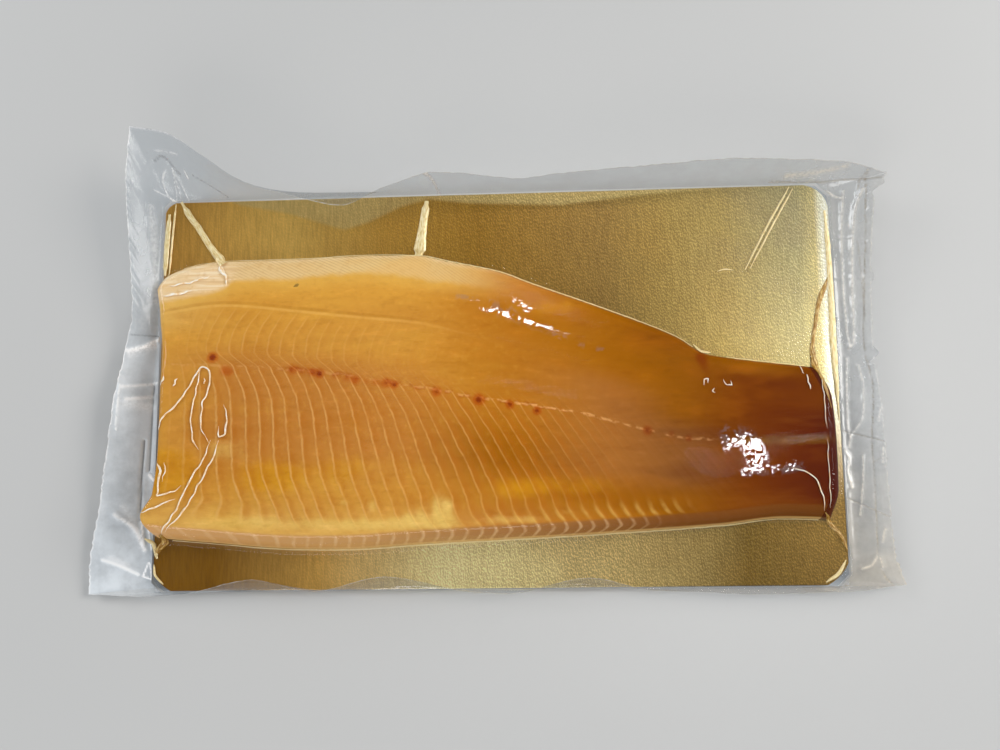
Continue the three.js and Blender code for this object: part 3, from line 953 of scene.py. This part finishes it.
def readField(drawn, layer, x, y):  # the drawn skin's value at any place on it
    column = np.clip((x - drawn["x"][0]) / (drawn["x"][1] - drawn["x"][0]), 0, len(drawn["x"]) - 1.001)
    row = np.clip((y - drawn["y"][0]) / (drawn["y"][1] - drawn["y"][0]), 0, len(drawn["y"]) - 1.001)
    i, j = np.floor(column).astype(int), np.floor(row).astype(int)
    across, down = column - i, row - j
    values = drawn[layer]
    low = mix(values[j, i], values[j, i + 1], across)
    high = mix(values[j + 1, i], values[j + 1, i + 1], across)
    return mix(low, high, down)


def buildSkin(drawn):
    columns, rows = len(drawn["x"]) - 1, len(drawn["y"]) - 1
    piece = addGrid("filmSkin", columns, rows)
    start = readPoints(piece)
    x = start[:, 0] * (drawn["x"][-1] - drawn["x"][0])
    y = start[:, 1] * (drawn["y"][-1] - drawn["y"][0])
    height = readField(drawn, "height", x, y)
    slack = readField(drawn, "slack", x, y)
    footX, footY = roundCorner(x, y)
    writePoints(piece, toWorld(np.column_stack([footX, footY, height])))
    overBoard = smoothStep(height, boardTop + 1.6, boardTop + 0.9)
    # painted glare over the board at the right
    glare = overBoard * smoothStep(x, 60, 125) * smoothStep(y, -30, 20) * skin["glare"]
    # where the lamps glint the film is crinkled and shines; elsewhere it's nearly unseen
    shine, crinkle = np.zeros(len(x)), spotField(x, y, skin["crinkled"])
    for setting in glints.values():
        for width, run in setting["runs"]:
            distance = pathDistance(x, y, softPath(run), 5 * width)
            shine = np.maximum(shine, np.exp(-(distance / width) ** 4))
            crinkle = np.maximum(crinkle, bell(distance, 1.6 * width))
    storeNumbers(
        piece, milk=skin["slackMilk"] * smoothStep(slack, 0.3, 1.6) + glare, mark=0, warmth=0,
        crinkle=mix(skin["crinkleLeast"], 1, crinkle), glint=shine,
        gloss=skin["gloss"] - skin["dulled"] * spotField(x, y, skin["dull"]),
    )
    tidyMesh(piece, merge=0.00005)
    return piece


def buildUnderside():  # the plain lower film under the board
    piece = addGrid("filmUnderside", 60, 36)
    start = readPoints(piece)
    x = start[:, 0] * 2 * (boardHalf.x + film["skinEdge"])
    y = start[:, 1] * 2 * (boardHalf.y + film["skinEdge"])
    footX, footY = roundCorner(x, y)
    height = np.full(len(x), film["footHeight"] / 2)
    writePoints(piece, toWorld(np.column_stack([footX, footY, height])))
    storeNumbers(piece, milk=0.3, mark=0, warmth=0, crinkle=1, gloss=1, glint=0)
    tidyMesh(piece, merge=0.00005)
    return piece


# stops run around the pouch: 0 to 1 the front, 1 to 2 the right, 2 to 3 the back, 3 to 4 the left
margin = {
    "columns": 2200,
    "rows": 38,
    "seed": 12,
    "sideRun": 220,
    "wavelength": 1.6,
    "ragged": [  # how far the free edge wavers
        [0, 0.1], [1, 0.1], [1.02, 0.55], [1.6, 0.35], [2, 0.2], [3, 0.05], [3.05, 0.3], [4, 0.3],
    ],
    "milk": [  # how hazy the doubled film is
        [0, 0.72], [0.08, 0.4], [0.16, 0.22], [0.5, 0.16], [0.86, 0.2], [0.95, 0.36], [1, 0.46],
        [1.5, 0.36], [2, 0.34], [2.15, 0.22], [2.5, 0.12], [2.8, 0.16], [3, 0.22], [3.3, 0.3],
        [3.6, 0.72], [4, 0.8],
    ],
    # painted reflection: how much of the gold's warm tone, as the film mirrors the board, is in the
    # haze
    "warmth": [[0, 0.1], [0.5, 0.5], [1, 0.8], [1.4, 0.3], [2, 0.5], [2.5, 0.7], [3, 0.05], [4, 0]],
    "weldWidth": (3.4, 2.8),  # where the weld along the sides ends
    "weldMilk": 0.06,
    # a painted highlight along the free edge, where the cut film catches the light
    "edgeHighlight": (0.55, 0.32),  # how white the free edge's line is, and its half width
    "pleats": 70,
    "pleatHalfWidths": (0.5, 1.4),
    "pleatHeights": (0.04, 0.18),
    "swell": 0.28,
    "dropReach": 1.8,  # how soon the upper film meets the lower one
}
# the pouch's free edge, [x, y, height], one open run a side, anticlockwise from above
frontEdge = [
    [-160.5, -80, 2], [-138, -81, 3], [-122, -80, 4.5], [-94, -74.7, 8], [-71, -79.5, 5],
    [-42, -74, 8], [-9, -80.3, 5], [6, -81, 4.5], [36, -75.1, 8], [59, -80, 5],
    [78, -81, 4.5], [100, -82, 5], [133, -81.3, 5], [156, -79, 3],
]
rightEdge = [
    [156, -79, 3], [152, -66, 4], [151, -40, 5], [149.8, -11, 7],
    [148.2, 12, 6], [148.6, 36, 7], [151, 70, 11], [156, 80, 12],
]
backEdge = [
    [156, 80, 12], [136.5, 84, 16], [97, 84.4, 21], [66.5, 82.6, 22], [28, 80.5, 21],
    [12.5, 79.7, 19], [-20, 81.8, 22.9], [-42.5, 77.3, 19], [-58, 70, 21], [-81, 75.1, 23],
    [-96.5, 79.8, 25], [-111.5, 89.7, 28], [-129.5, 102, 23], [-144.5, 106, 20],
]
leftEdge = [
    [-144.5, 106, 20], [-146.5, 83.5, 17], [-145, 36, 9], [-148.5, 16, 6],
    [-151, 0, 8], [-154, -24, 7], [-157, -47, 5], [-160.5, -70, 3], [-160.5, -80, 2],
]
# folds in the margins: half width, height, how white the line is as a painted highlight (below 0 how
# dark, for seams and painted shade in folds), its run
marginFolds = [
    [0.9, 0.55, 0.6, [(140.7, 75.3), (139.8, 66.3), (139.1, 54.4), (138.9, 36.6), (139.4, 19),
                      (140.1, 12.6)]],
    [1.0, 0.6, 0.65, [(147.2, 74.7), (144.1, 66.2), (142.5, 48.2), (142, 30.5), (141.5, 13.8),
                      (140.1, 12.6)]],
    [0.45, -0.25, -0.7, [(149, 84), (147.8, 65.7), (146.3, 36.2), (145.1, 12.7), (147.1, -3),
                         (145.9, -28.1), (146.3, -47.2), (146, -66), (148, -75.3), (150.8, -79)]],
    [0.6, 0.25, -0.35, [(144.5, 53.9), (145.3, 42.1), (145.9, 24.8)]],
    [1.1, 0.55, 0.7, [(129.6, 78.2), (134.6, 75.6), (138.4, 73), (139.9, 72.5)]],
    [0.8, 0.45, 0.55, [(138.7, 7.9), (138, -4.7), (137.6, -17.9), (138.3, -22.9)]],
    [0.8, 0.45, 0.55, [(142.6, 5.1), (143.8, -2.8), (143.2, -14.5), (140.1, -20.3), (138.3, -22.9),
                       (137.8, -26.8)]],
    [1.0, 0.5, 0.85, [(136.2, -27.9), (137.6, -31), (136.9, -35.6), (138, -42.1)]],
    [0.7, 0.4, 0.65, [(142.5, -29.9), (142.2, -37.6), (141, -49), (140.4, -52.8)]],
    [0.4, -0.3, -0.6, [(133.6, -19.8), (142.3, -22.2), (150.9, -25.1)]],
    [0.4, -0.2, -0.4, [(146.2, -32.7), (150.3, -30)]],
    [0.4, -0.3, -0.6, [(135, -45.9), (143.6, -49.8), (151.9, -54)]],
    [1.1, 0.6, 0.6, [(140.2, -73), (143.7, -71.5), (145.9, -68.2), (147.3, -72.3)]],
    [0.8, 0.35, 0.6, [(149.2, -12), (148.4, -17)]],
    [0.8, 0.35, 0.6, [(149.6, -27), (149.2, -33)]],
    [1.0, 0.4, 0.6, [(149, -58), (147.6, -63)]],
    [1.8, 0.7, 0.6, [(-147.4, 16.6), (-141.7, 18.1), (-136, 21.5)]],
    [0.4, -0.3, -0.5, [(-146.1, 23.1), (-134.7, 22.9)]],
    [0.5, 0.3, 0.5, [(-149.5, 2.8), (-150.6, -15.4)]],
    [1.2, 0.5, 0.4, [(-148.8, 1.9), (-135.4, 3.7)]],
    [1.6, 0.3, 0.4, [(-147, -3), (-138, -2)]],
    [0.7, -0.5, -0.45, [(-140.5, -19.6), (-141.2, -35.4), (-141.4, -51.2)]],
    [0.7, -0.4, -0.45, [(-137.5, 2.5), (-137.9, -15.6), (-138.3, -31.5)]],
    [1.2, 0.6, 0.9, [(-137.9, -33.5), (-135, -36.5)]],
    [4.5, 0.2, 0.2, [(-147, -5), (-138, -6)]],
    [3.5, 0.2, 0.18, [(-146, 15), (-137, 19)]],
    [3.5, 0.2, 0.18, [(-148, -46), (-143, -54), (-140, -62)]],
    [3, 0.2, 0.18, [(-152, -66), (-146, -69)]],
    [1.8, 0.8, 0.5, [(-150.6, -49.1), (-142.7, -55.1), (-139, -62.9)]],
    [1.4, 0.5, 0.5, [(-155.4, -66.6), (-149.8, -68.6), (-141.4, -72.5)]],
    [0.6, 0.4, 0.8, [(-141.1, -49.2), (-139.3, -60.9)]],
    [0.6, 0.4, 0.8, [(-139.1, -49.2), (-136.1, -62.9)]],
    [0.7, 0.5, 0.85, [(-139.5, -73.3), (-137, -67.9), (-135.3, -74.5), (-139.5, -73.3)]],
    [0.5, 0.2, 0.5, [(-139.4, 97), (-131, 96.1), (-125.2, 94.2)]],
    [0.9, -0.4, -0.45, [(-136.5, 93.6), (-133.1, 94.8), (-126.5, 88.3)]],
    [0.4, -0.2, -0.45, [(-120.8, 87.3), (-108, 79.9)]],
    [0.4, 0.3, 0.6, [(-129.1, 90.4), (-130.4, 78.4)]],
    [0.4, 0.3, 0.6, [(-129.1, 90.4), (-128.4, 80)]],
    [0.5, 0.3, 0.6, [(-129.1, 90.4), (-125, 79.5)]],
    [0.8, 0.5, 0.85, [(-133, 89.6), (-134.7, 86.3), (-133.8, 82), (-129.8, 78.7)]],
    [0.6, 0.35, 0.7, [(-138.2, 83.2), (-134.2, 81.4), (-130.9, 78.8)]],
    [0.8, 0.4, 0.75, [(-124, 88.9), (-123.2, 86.8)]],
    [2.6, 0.4, 0.25, [(-139.2, 76), (-138, 56), (-137.1, 36.7)]],
    [0.9, 0.4, 0.5, [(-27.3, 82.3), (-21.9, 80.4), (-20.5, 77.6)]],
    [1.2, 0.4, 0.6, [(140.7, 82.7), (129.2, 81.6), (117.6, 81)]],
    [0.4, 0.3, -0.5, [(145.2, 72.3), (146.4, 78.3), (152, 83)]],
    [0.6, -0.4, -0.5, [(154, 78.5), (136, 79.6), (112, 80)]],
]
# beads of melted film on the right edge, and the notch between them: y, how far out, half length
edgeBeads = [[40.1, 1.5, 2.1], [9.6, 1.7, 1.9], [6.2, -2.2, 1.1], [72.5, -1.6, 1.6], [76, 1.2, 1.2]]


def edgeCurve(stops):  # x, y and height along one free edge, evenly by length
    stops = np.array(stops, float)
    chord = np.sqrt(np.linalg.norm(np.diff(stops, axis=0), axis=1))
    place = np.concatenate([[0], np.cumsum(chord)])
    path = smoothColumns(place, stops, np.linspace(0, place[-1], 400))
    length = runLengths(path)

    def at(share):
        return np.column_stack([np.interp(share * length[-1], length, column) for column in path.T])
    return at


def waver(places, wavelength, maker):  # a smooth seeded wander between -1 and 1
    count = max(4, int((places.max() - places.min()) / wavelength) + 3)
    stops = np.linspace(places.min(), places.max(), count)
    return smoothRun(np.column_stack([stops, maker.uniform(-1, 1, count)]))(places)


def insideBoard(x, y):  # how far inside the board's edge
    return np.minimum(boardHalf.x - np.abs(x), boardHalf.y - np.abs(y))


def marginSurface(around, outward):  # by place around the pouch and share of the way out
    side = np.clip(np.floor(around + 1e-9).astype(int), 0, 3)
    share = around - side
    x, y = boardHalf.x + film["skinEdge"], boardHalf.y + film["skinEdge"]
    corners = np.array([[-x, -y], [x, -y], [x, y], [-x, y], [-x, -y]])
    foot = mix(corners[side], corners[side + 1], share[:, None])
    footX, footY = roundCorner(foot[:, 0], foot[:, 1])
    free = np.empty((len(around), 3))
    for number, edge in enumerate((frontEdge, rightEdge, backEdge, leftEdge)):
        chosen = side == number
        free[chosen] = edgeCurve(edge)(share[chosen])
    maker = np.random.default_rng(margin["seed"])
    rough = waver(around * margin["sideRun"], margin["wavelength"], maker)
    rough *= straightRun(margin["ragged"], around)
    for beadY, out, half in edgeBeads:
        rough += (side == 1) * out * bell(free[:, 1] - beadY, half)
    reach = np.hypot(free[:, 0] - footX, free[:, 1] - footY)
    steep = free[:, 2] / (free[:, 2] + reach)
    overhang = np.maximum(0, insideBoard(free[:, 0], free[:, 1]))
    out = outward ** (1 + 1.2 * steep + 0.16 * overhang)
    up = outward ** (1.4 - 0.4 * steep)
    height = mix(film["footHeight"], free[:, 2], up)
    # the upper film comes down from the board's edge and meets the lower one a little way out
    drop = boardTop + film["skinGap"] - film["footHeight"]
    drop *= np.exp(-((out * reach) / margin["dropReach"]) ** 1.3)
    height += drop * (1 - smoothStep(outward, 0.5, 0.9))
    rough *= smoothStep(outward, 0.72, 1)
    x = mix(footX, free[:, 0], out) + rough * np.isin(side, (1, 3)) * np.where(side == 3, -1, 1)
    y = mix(footY, free[:, 1], out) + rough * np.isin(side, (0, 2)) * np.where(side == 0, -1, 1)
    return np.column_stack([x, y, height]), free


def buildMargin():
    piece = addGrid("filmMargin", margin["columns"], margin["rows"])
    start = readPoints(piece)
    around = (start[:, 0] + 0.5) * 4
    outward = 0.5 - start[:, 1]
    points, free = marginSurface(around, outward)
    x, y = points[:, 0].copy(), points[:, 1].copy()
    offFoot = smoothStep(outward, 0.02, 0.14)
    fromEdge = np.linalg.norm(points - free, axis=1)
    over = smoothStep(insideBoard(x, y), -0.5, 1.5)
    milk = straightRun(margin["milk"], around) * (1 - 0.55 * over)
    milk *= mix(0.75, 1, smoothStep(outward, 0, 0.2))
    onSides = np.floor(around) % 2 == 1
    milk += margin["weldMilk"] * smoothStep(fromEdge, *margin["weldWidth"]) * onSides
    # the free edge's white line is a painted highlight
    white, halfWidth = margin["edgeHighlight"]
    mark = white * bell(fromEdge, halfWidth)

    def raiseLine(path, width, height):  # and what is near it, for its white or dark mark
        distance = pathDistance(x, y, path, 2.6 * width)
        near = distance < 2.6 * width
        points[near, 2] += height * (bell(distance[near], width) * offFoot[near])
        return near, distance[near]

    for width, height, white, run in marginFolds:
        near, distance = raiseLine(softPath(run, 0.8), width, height)
        mark[near] += white * bell(distance, 0.45 * width)
    # small seeded pleats across the margins
    maker = np.random.default_rng(margin["seed"] + 1)
    for _ in range(margin["pleats"]):
        begin = maker.uniform(0.03, 2.9)
        lean = maker.uniform(-0.012, 0.012)
        low, high = sorted(maker.uniform(0.05, 1, 2))
        ends, _free = marginSurface(np.array([begin, begin + lean]), np.array([low, high]))
        width = maker.uniform(*margin["pleatHalfWidths"])
        raiseLine(ends, width, maker.uniform(*margin["pleatHeights"]))
    swell = np.sin(around * 58) * np.sin(around * 23 + 1) + 0.6 * np.sin(around * 131 + 3 * outward)
    calm = 1 - 0.85 * smoothStep(around, 2.85, 3)
    points[:, 2] += margin["swell"] * swell * calm * offFoot * outward * (1 - 0.6 * over)
    points[:, 2] = np.maximum(points[:, 2], film["footHeight"])
    writePoints(piece, toWorld(points))
    storeNumbers(
        piece, milk=milk, mark=np.clip(mark, -1, 1), warmth=straightRun(margin["warmth"], around),
        crinkle=1 - 0.5 * over, gloss=1 - 0.6 * smoothStep(around, 1.98, 2.1), glint=0,
    )
    tidyMesh(piece)
    return piece


# folds standing on the film: [height, run of (x, y, half width)]; their pale cream is partly the
# pleats' own and partly painted highlight where foil and film bend
paleFolds = [
    [0.9, [(-128.3, 79, 0.9), (-125.2, 73.8, 1.3), (-120.7, 67.6, 1.3), (-115.5, 59.5, 1.4),
           (-111.4, 54.3, 1.9), (-108.6, 51, 3.0)]],
    [0.5, [(-130.6, 78.2, 0.4), (-131.6, 63.8, 0.45), (-132.5, 47.5, 0.4)]],
    [0.35, [(-133.2, 74, 0.9), (-133.9, 60, 1.1), (-134.3, 48, 0.8)]],
    [0.8, [(-26.3, 76.6, 1.4), (-27.8, 66.4, 1.7), (-29.6, 53.2, 2.8)]],
    [0.45, [(119.9, 78.1, 0.4), (110.4, 62.1, 0.45), (101, 44.5, 0.3)]],
    [0.4, [(121.3, 77.4, 0.35), (111.9, 61.2, 0.4), (103, 45, 0.25)]],
    [0.12, [(90, 44.2, 0.1), (93, 45, 0.24), (96.5, 44.5, 0.08)]],
    [0.4, [(133.4, 68, 0.7), (134, 52, 1.0), (134.1, 36, 1.1), (133.9, 16, 1.3), (134.2, -2, 0.9),
           (134.4, -16, 0.4)]],
    [0.5, [(-138.6, -58.6, 0.5), (-135.2, -60.6, 0.8), (-133.4, -66.4, 0.7)]],
    [0.4, [(-134.6, -68.6, 0.3), (-134.2, -72.2, 0.5), (-130.6, -76.4, 0.35)]],
    [0.4, [(126, -77.9, 0.4), (131, -74.4, 0.7), (133.9, -69.6, 0.4)]],
    [0.3, [(79.4, 14.8, 0.3), (82.6, 11.8, 0.6), (86, 11.4, 0.3)]],
]
amberFolds = [
    [0.35, [(133.8, 41.8, 0.7), (131, 35.3, 1.1), (128.3, 27.3, 0.8), (126.8, 19.3, 0.7),
            (125.6, 12.1, 0.9), (126.1, 6.4, 1.3), (128.4, -2.8, 0.7), (130.4, -12, 0.4)]],
    [1.2, [(-127.6, -57, 0.9), (-130.5, -60.4, 1.3), (-134.3, -64.4, 1.0)]],
    [0.4, [(125.6, -51.6, 0.5), (129.4, -56.5, 0.7), (133.4, -62.2, 0.7), (134.8, -66, 0.4)]],
]
# thin lines where the film leaves the fish and turns onto the board
outline = [
    [0.25, [(x, bellyEdge(x) + 0.3, 0.34) for x in range(-126, 82, 5)]],
    [0.2, [(x, bellyEdge(x) + 0.3, 0.22) for x in range(92, 128, 6)]],
    [0.2, [(x, loinEdge(x) - 0.3, 0.26) for x in range(-126, 128, 5)]],
]
# painted highlights: bright lines and small glints where the film wrinkles over the fish
wrinkles = [
    [0.25, [(-110, 50.4, 1.1), (-107.6, 46.4, 0.6), (-106.6, 42.2, 0.35)]],
    [0.2, [(-131, 42.4, 0.2), (-122, 43.6, 0.4), (-113, 46.4, 0.2)]],
    [0.2, [(-133, 38.2, 0.3), (-128, 38.8, 0.6), (-120, 40.2, 0.2)]],
    [0.3, [(-130.5, -23.4, 0.2), (-128.9, -14.6, 0.3), (-122.9, -7.3, 0.32), (-118.8, -1.6, 0.3),
           (-115.8, 5.4, 0.34), (-113.5, 8.1, 0.4), (-110.7, 6.1, 0.34), (-110.2, 0.2, 0.3),
           (-112.3, -7.6, 0.3), (-112.1, -15.4, 0.28), (-108.7, -22.4, 0.24)]],
    [0.3, [(-114.3, 6.9, 0.3), (-115.2, -1.7, 0.26), (-116.5, -12.6, 0.28), (-115, -20.3, 0.28),
           (-112.5, -25, 0.2)]],
    [0.3, [(-103.9, -7.4, 0.2), (-102.2, -12.9, 0.3), (-102.8, -19.1, 0.32), (-104.7, -20.2, 0.34),
           (-105.2, -15.9, 0.22)]],
    [0.34, [(-108, -21.3, 0.26), (-110.9, -28.9, 0.3), (-114.2, -34.6, 0.32), (-117.7, -42.2, 0.3),
            (-121.8, -49.7, 0.3), (-128.4, -58.3, 0.34)]],
    [0.34, [(-104.9, -21.4, 0.26), (-107, -28.2, 0.3), (-111.4, -37.3, 0.3), (-118, -48.6, 0.32),
            (-125.4, -56.1, 0.34)]],
    [0.3, [(-129.5, -28.8, 0.24), (-127, -33.2, 0.5), (-127.6, -37.9, 0.3), (-128.2, -42.1, 0.32),
           (-122.5, -41.2, 0.3), (-118.7, -38.6, 0.22)]],
    [0.3, [(-135.5, -48.9, 0.26), (-129.3, -46.7, 0.32), (-120.9, -43.6, 0.22)]],
    [0.3, [(-131.2, -8, 0.16), (-130.9, -16, 0.24), (-130.6, -26, 0.18)]],
    [0.3, [(-130.4, 1, 0.3), (-129.2, 3, 0.5), (-128.8, 4.6, 0.2)]],
    [0.3, [(-124.6, 0.4, 0.3), (-123.8, 2.2, 0.4), (-123, 3.4, 0.2)]],
    [0.3, [(-112.4, 3.4, 0.18), (-111.6, 2.4, 0.26), (-112.3, 1, 0.16)]],
    [0.25, [(-125.8, -29.6, 0.14), (-125.4, -33, 0.22), (-126.2, -37, 0.14)]],
    [0.25, [(82, -2.4, 0.16), (82.4, 0, 0.24), (83.8, 0.2, 0.24), (83.6, -1.6, 0.16)]],
    [0.25, [(86, -3.6, 0.16), (85.2, -4.6, 0.22), (86.2, -5.4, 0.16)]],
    [0.25, [(89.6, -0.2, 0.16), (91.4, -2.6, 0.22), (92.8, -2.6, 0.26), (92.4, -0.8, 0.16)]],
    [0.25, [(121.7, 1.3, 0.22), (122.3, -1.8, 0.2), (122.7, -4.6, 0.26)]],
    [0.25, [(119.8, 5.4, 0.18), (120.6, 1.6, 0.16)]],
    [0.3, [(113.4, -34.6, 0.26), (119, -36.6, 0.24), (123.2, -40.6, 0.22), (124.8, -46, 0.2),
           (125.2, -51, 0.16)]],
    [0.25, [(127.6, -24, 0.1), (127.8, -38, 0.16), (127.4, -50, 0.14)]],
    [0.25, [(126.8, 4, 0.12), (127.7, -10, 0.16), (127.9, -20, 0.12)]],
]


foldKinds = {
    # pale folds and outlines: cream partly their own, partly painted highlight
    "paleFolds": {
        "folds": paleFolds + outline, "seed": 3, "taperEnds": 0.6, "wander": 0.06, "sway": 0.05,
        "material": "paleFold", "roughness": 0.28, "metallic": 0.1, "alpha": 0.95, "streaks": 3,
        "tones": [(0.3, (208, 172, 100)), (0.5, (242, 220, 160)), (0.7, (255, 246, 212))],
    },
    "amberFolds": {
        "folds": amberFolds, "seed": 4, "taperEnds": 0.4, "wander": 0.2, "sway": 0.12,
        "material": "amberFold", "roughness": 0.15, "metallic": 0, "alpha": 0.9, "streaks": 2.6,
        "tones": [(0.34, (122, 84, 20)), (0.5, (168, 122, 44)), (0.66, (238, 208, 134))],
    },
    # painted highlight: the wrinkles are white where the film catches the light
    "wrinkleHighlights": {
        "folds": wrinkles, "seed": 5, "taperEnds": 0.3, "wander": 0.35, "sway": 0.2,
        "material": "wrinkleHighlight", "roughness": 0.2, "metallic": 0, "alpha": 0.9, "streaks": 0.6,
        "tones": [(0.36, (236, 186, 118)), (0.48, (254, 234, 198)), (0.6, (255, 252, 242))],
    },
}


def raiseFold(name, height, run, kind, drawn, maker):  # one fold, domed across and tapered to its ends
    path = softPath(run, 0.5)
    part = addGrid(name, len(path) - 1, 8)
    start = readPoints(part)
    share, across = start[:, 0] + 0.5, start[:, 1] * 2
    places = np.linspace(0, 1, len(path))
    course = np.gradient(path[:, :2], axis=0)
    course /= np.linalg.norm(course, axis=1)[:, None]
    centreX, centreY, half, courseX, courseY = (
        np.interp(share, places, values) for values in (*path.T, *course.T)
    )
    ends = 8 * np.minimum(share, 1 - share)
    taper = np.clip(ends, kind["taperEnds"], 1)
    swell = 1 + kind["sway"] * waver(share * len(path), 5, maker)
    aside = kind["wander"] * waver(share * len(path), 6, maker) * np.clip(ends, 0, 1)
    offset = across * half * taper * swell + aside
    x, y = centreX - courseY * offset, centreY + courseX * offset
    dome = np.sqrt(np.maximum(0, 1 - across ** 2))
    z = readField(drawn, "height", x, y) + 0.02 + height * taper * dome * swell
    writePoints(part, toWorld(np.column_stack([x, y, z])))
    storeNumbers(part, foldAlong=share * len(path) * 0.5, foldAcross=across)
    return part


def buildFolds(name, kind, drawn):
    maker = np.random.default_rng(kind["seed"])
    parts = [
        raiseFold(f"{name}{number}", height, run, kind, drawn, maker)
        for number, (height, run) in enumerate(kind["folds"])
    ]
    deselectAll()
    for part in parts:
        part.select_set(True)
    bpy.context.view_layer.objects.active = parts[0]
    bpy.ops.object.join()
    piece = bpy.context.object
    piece.name = piece.data.name = name
    tidyMesh(piece, merge=0.000005)
    return piece


def foldMaterial(kind):
    material, tree = newMaterial(kind["material"])
    along = times(tree, attribute(tree, "foldAlong"), 0.35)
    across = times(tree, attribute(tree, "foldAcross"), kind["streaks"])
    place = addNode(tree, "ShaderNodeCombineXYZ", X=along, Y=across).outputs["Vector"]
    streak = noise(tree, place, 1, 3, 0.6)
    showPrincipled(
        tree, Base_Color=toneRamp(tree, streak, kind["tones"]), Roughness=kind["roughness"],
        Metallic=kind["metallic"], Alpha=kind["alpha"], Normal=bumpNormal(tree, streak, 0.4, 0.0004),
    )
    return material


# floor, lights and camera

camera = {"place": (25.8, -58.65, 420.9), "tilt": (8.447, 3.22, -0.666), "lens": 38.59}
eyePlace = Vector(camera["place"]) * mm + Vector((boardMiddle.x, boardMiddle.y, boardHigh.z))
lights = {
    "window": {
        "place": (1.1, 0.35, 0.72), "size": (0.9, 0.6), "power": 14.8, "colour": (1, 0.98, 0.95),
    },
    "backLeft": {
        "place": (-1.1, 0.7, 0.55), "size": (0.8, 0.4), "power": 7.8, "colour": (0.96, 0.98, 1),
    },
    "frontFill": {
        "place": (-0.35, -1.05, 0.6), "size": (1.0, 0.4), "power": 6.1, "colour": (1, 1, 1),
    },
}
sky = {"colour": (0.92, 0.96, 1, 1), "strength": 0.34}
# small lamps that the film mirrors: the spot each is aimed by, and its glint's [half width, run]
glintDistance = 0.85
glints = {
    "tailGlint": {
        "spot": (99, -28), "size": (0.11, 0.11), "power": 0.007, "cone": 16,
        "runs": [
            [3.4, [(90.5, -22), (96.5, -23), (99.5, -28), (101, -33)]],
            [1.6, [(89.5, -20), (89.8, -26)]],
            [1.5, [(96, -36.4), (104, -36), (110, -35.6), (117, -34.2)]],
        ],
    },
    "bellyGlint": {
        "spot": (10, 26.5), "size": (0.16, 0.1), "power": 0.009, "cone": 16,
        "runs": [
            [1.0, [(-13, 35.2), (-6, 34)]], [2.6, [(-2, 31.6), (3, 29.4), (7.7, 27.6)]],
            [1.4, [(7, 27), (15.4, 23.2), (22.3, 20.8)]], [1.3, [(9, 32), (14.6, 29)]],
            [1.2, [(25, 18.6), (28.6, 17.4)]], [0.8, [(35, 14.6), (37.6, 14)]],
            [0.7, [(41.6, 12.8), (43, 12.4)]],
        ],
    },
}


def buildStage():
    deselectAll()
    bpy.ops.mesh.primitive_plane_add(size=6, location=(0, 0, -0.0003))
    floor = bpy.context.object
    floor.name = "floor"
    material, tree = newMaterial("paleFloor")
    showPrincipled(tree, Base_Color=srgb(196, 196, 195), Roughness=0.6)
    floor.data.materials.append(material)


def addLamp(name, place, aim, size, power, colour=(1, 1, 1), cone=180):
    deselectAll()
    bpy.ops.object.light_add(type="AREA", location=place)
    lamp = bpy.context.object
    lamp.name = name
    lamp.data.shape = "RECTANGLE"
    lamp.data.size, lamp.data.size_y = size
    lamp.data.energy = power
    lamp.data.color = colour
    lamp.data.spread = math.radians(cone)
    lamp.rotation_euler = (aim - place).to_track_quat("-Z", "Y").to_euler()


def skinFacing(drawn, x, y, step=4):  # where the film's top is at a spot, and which way it faces
    left, right, front, back = (
        readField(drawn, "height", np.array([x + across]), np.array([y + along]))[0]
        for across, along in ((-step, 0), (step, 0), (0, -step), (0, step))
    )
    spot = Vector((x * mm + boardMiddle.x, y * mm + boardMiddle.y, (left + right) / 2 * mm))
    return spot, Vector((left - right, front - back, 2 * step)).normalized()


def buildLights(drawn):
    for name, setting in lights.items():
        place, aim = Vector(setting["place"]), Vector((0, 0, 0))
        addLamp(name, place, aim, setting["size"], setting["power"], setting["colour"])
    for name, setting in glints.items():
        spot, facing = skinFacing(drawn, *setting["spot"])
        toEye = (eyePlace - spot).normalized()
        bounce = 2 * facing.dot(toEye) * facing - toEye
        place = spot + bounce * glintDistance
        addLamp(name, place, spot, setting["size"], setting["power"], cone=setting["cone"])
    world = bpy.data.worlds.new("studio")
    bpy.context.scene.world = world
    world.use_nodes = True
    background = world.node_tree.nodes["Background"].inputs
    background["Color"].default_value = sky["colour"]
    background["Strength"].default_value = sky["strength"]


def buildCamera():
    deselectAll()
    bpy.ops.object.camera_add(location=eyePlace, rotation=[math.radians(a) for a in camera["tilt"]])
    eye = bpy.context.object
    eye.data.lens = camera["lens"]
    eye.data.sensor_width = 36
    eye.data.clip_start = 0.01
    bpy.context.scene.camera = eye
    bpy.context.scene.view_settings.view_transform = "Standard"


skinDrawn = drawSkin()
buildCamera()
buildStage()
buildLights(skinDrawn)
print("stage, lights and camera set")

finishPiece(buildTrout(), fleshMaterial(), "trout_side")
print("side of trout shaped")

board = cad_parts["backing_board"]
board.data.materials.clear()
board.data.materials.append(goldMaterial())
print("board finished")

finishPiece(buildSkin(skinDrawn), filmMaterial("tightFilm"))
welded = filmMaterial("weldedFilm")
finishPiece(buildMargin(), welded, "vacuum_pouch")
finishPiece(buildUnderside(), welded)
print("film drawn over the pack")

for name, kind in foldKinds.items():
    finishPiece(buildFolds(name, kind, skinDrawn), foldMaterial(kind))
print("folds and wrinkles raised")
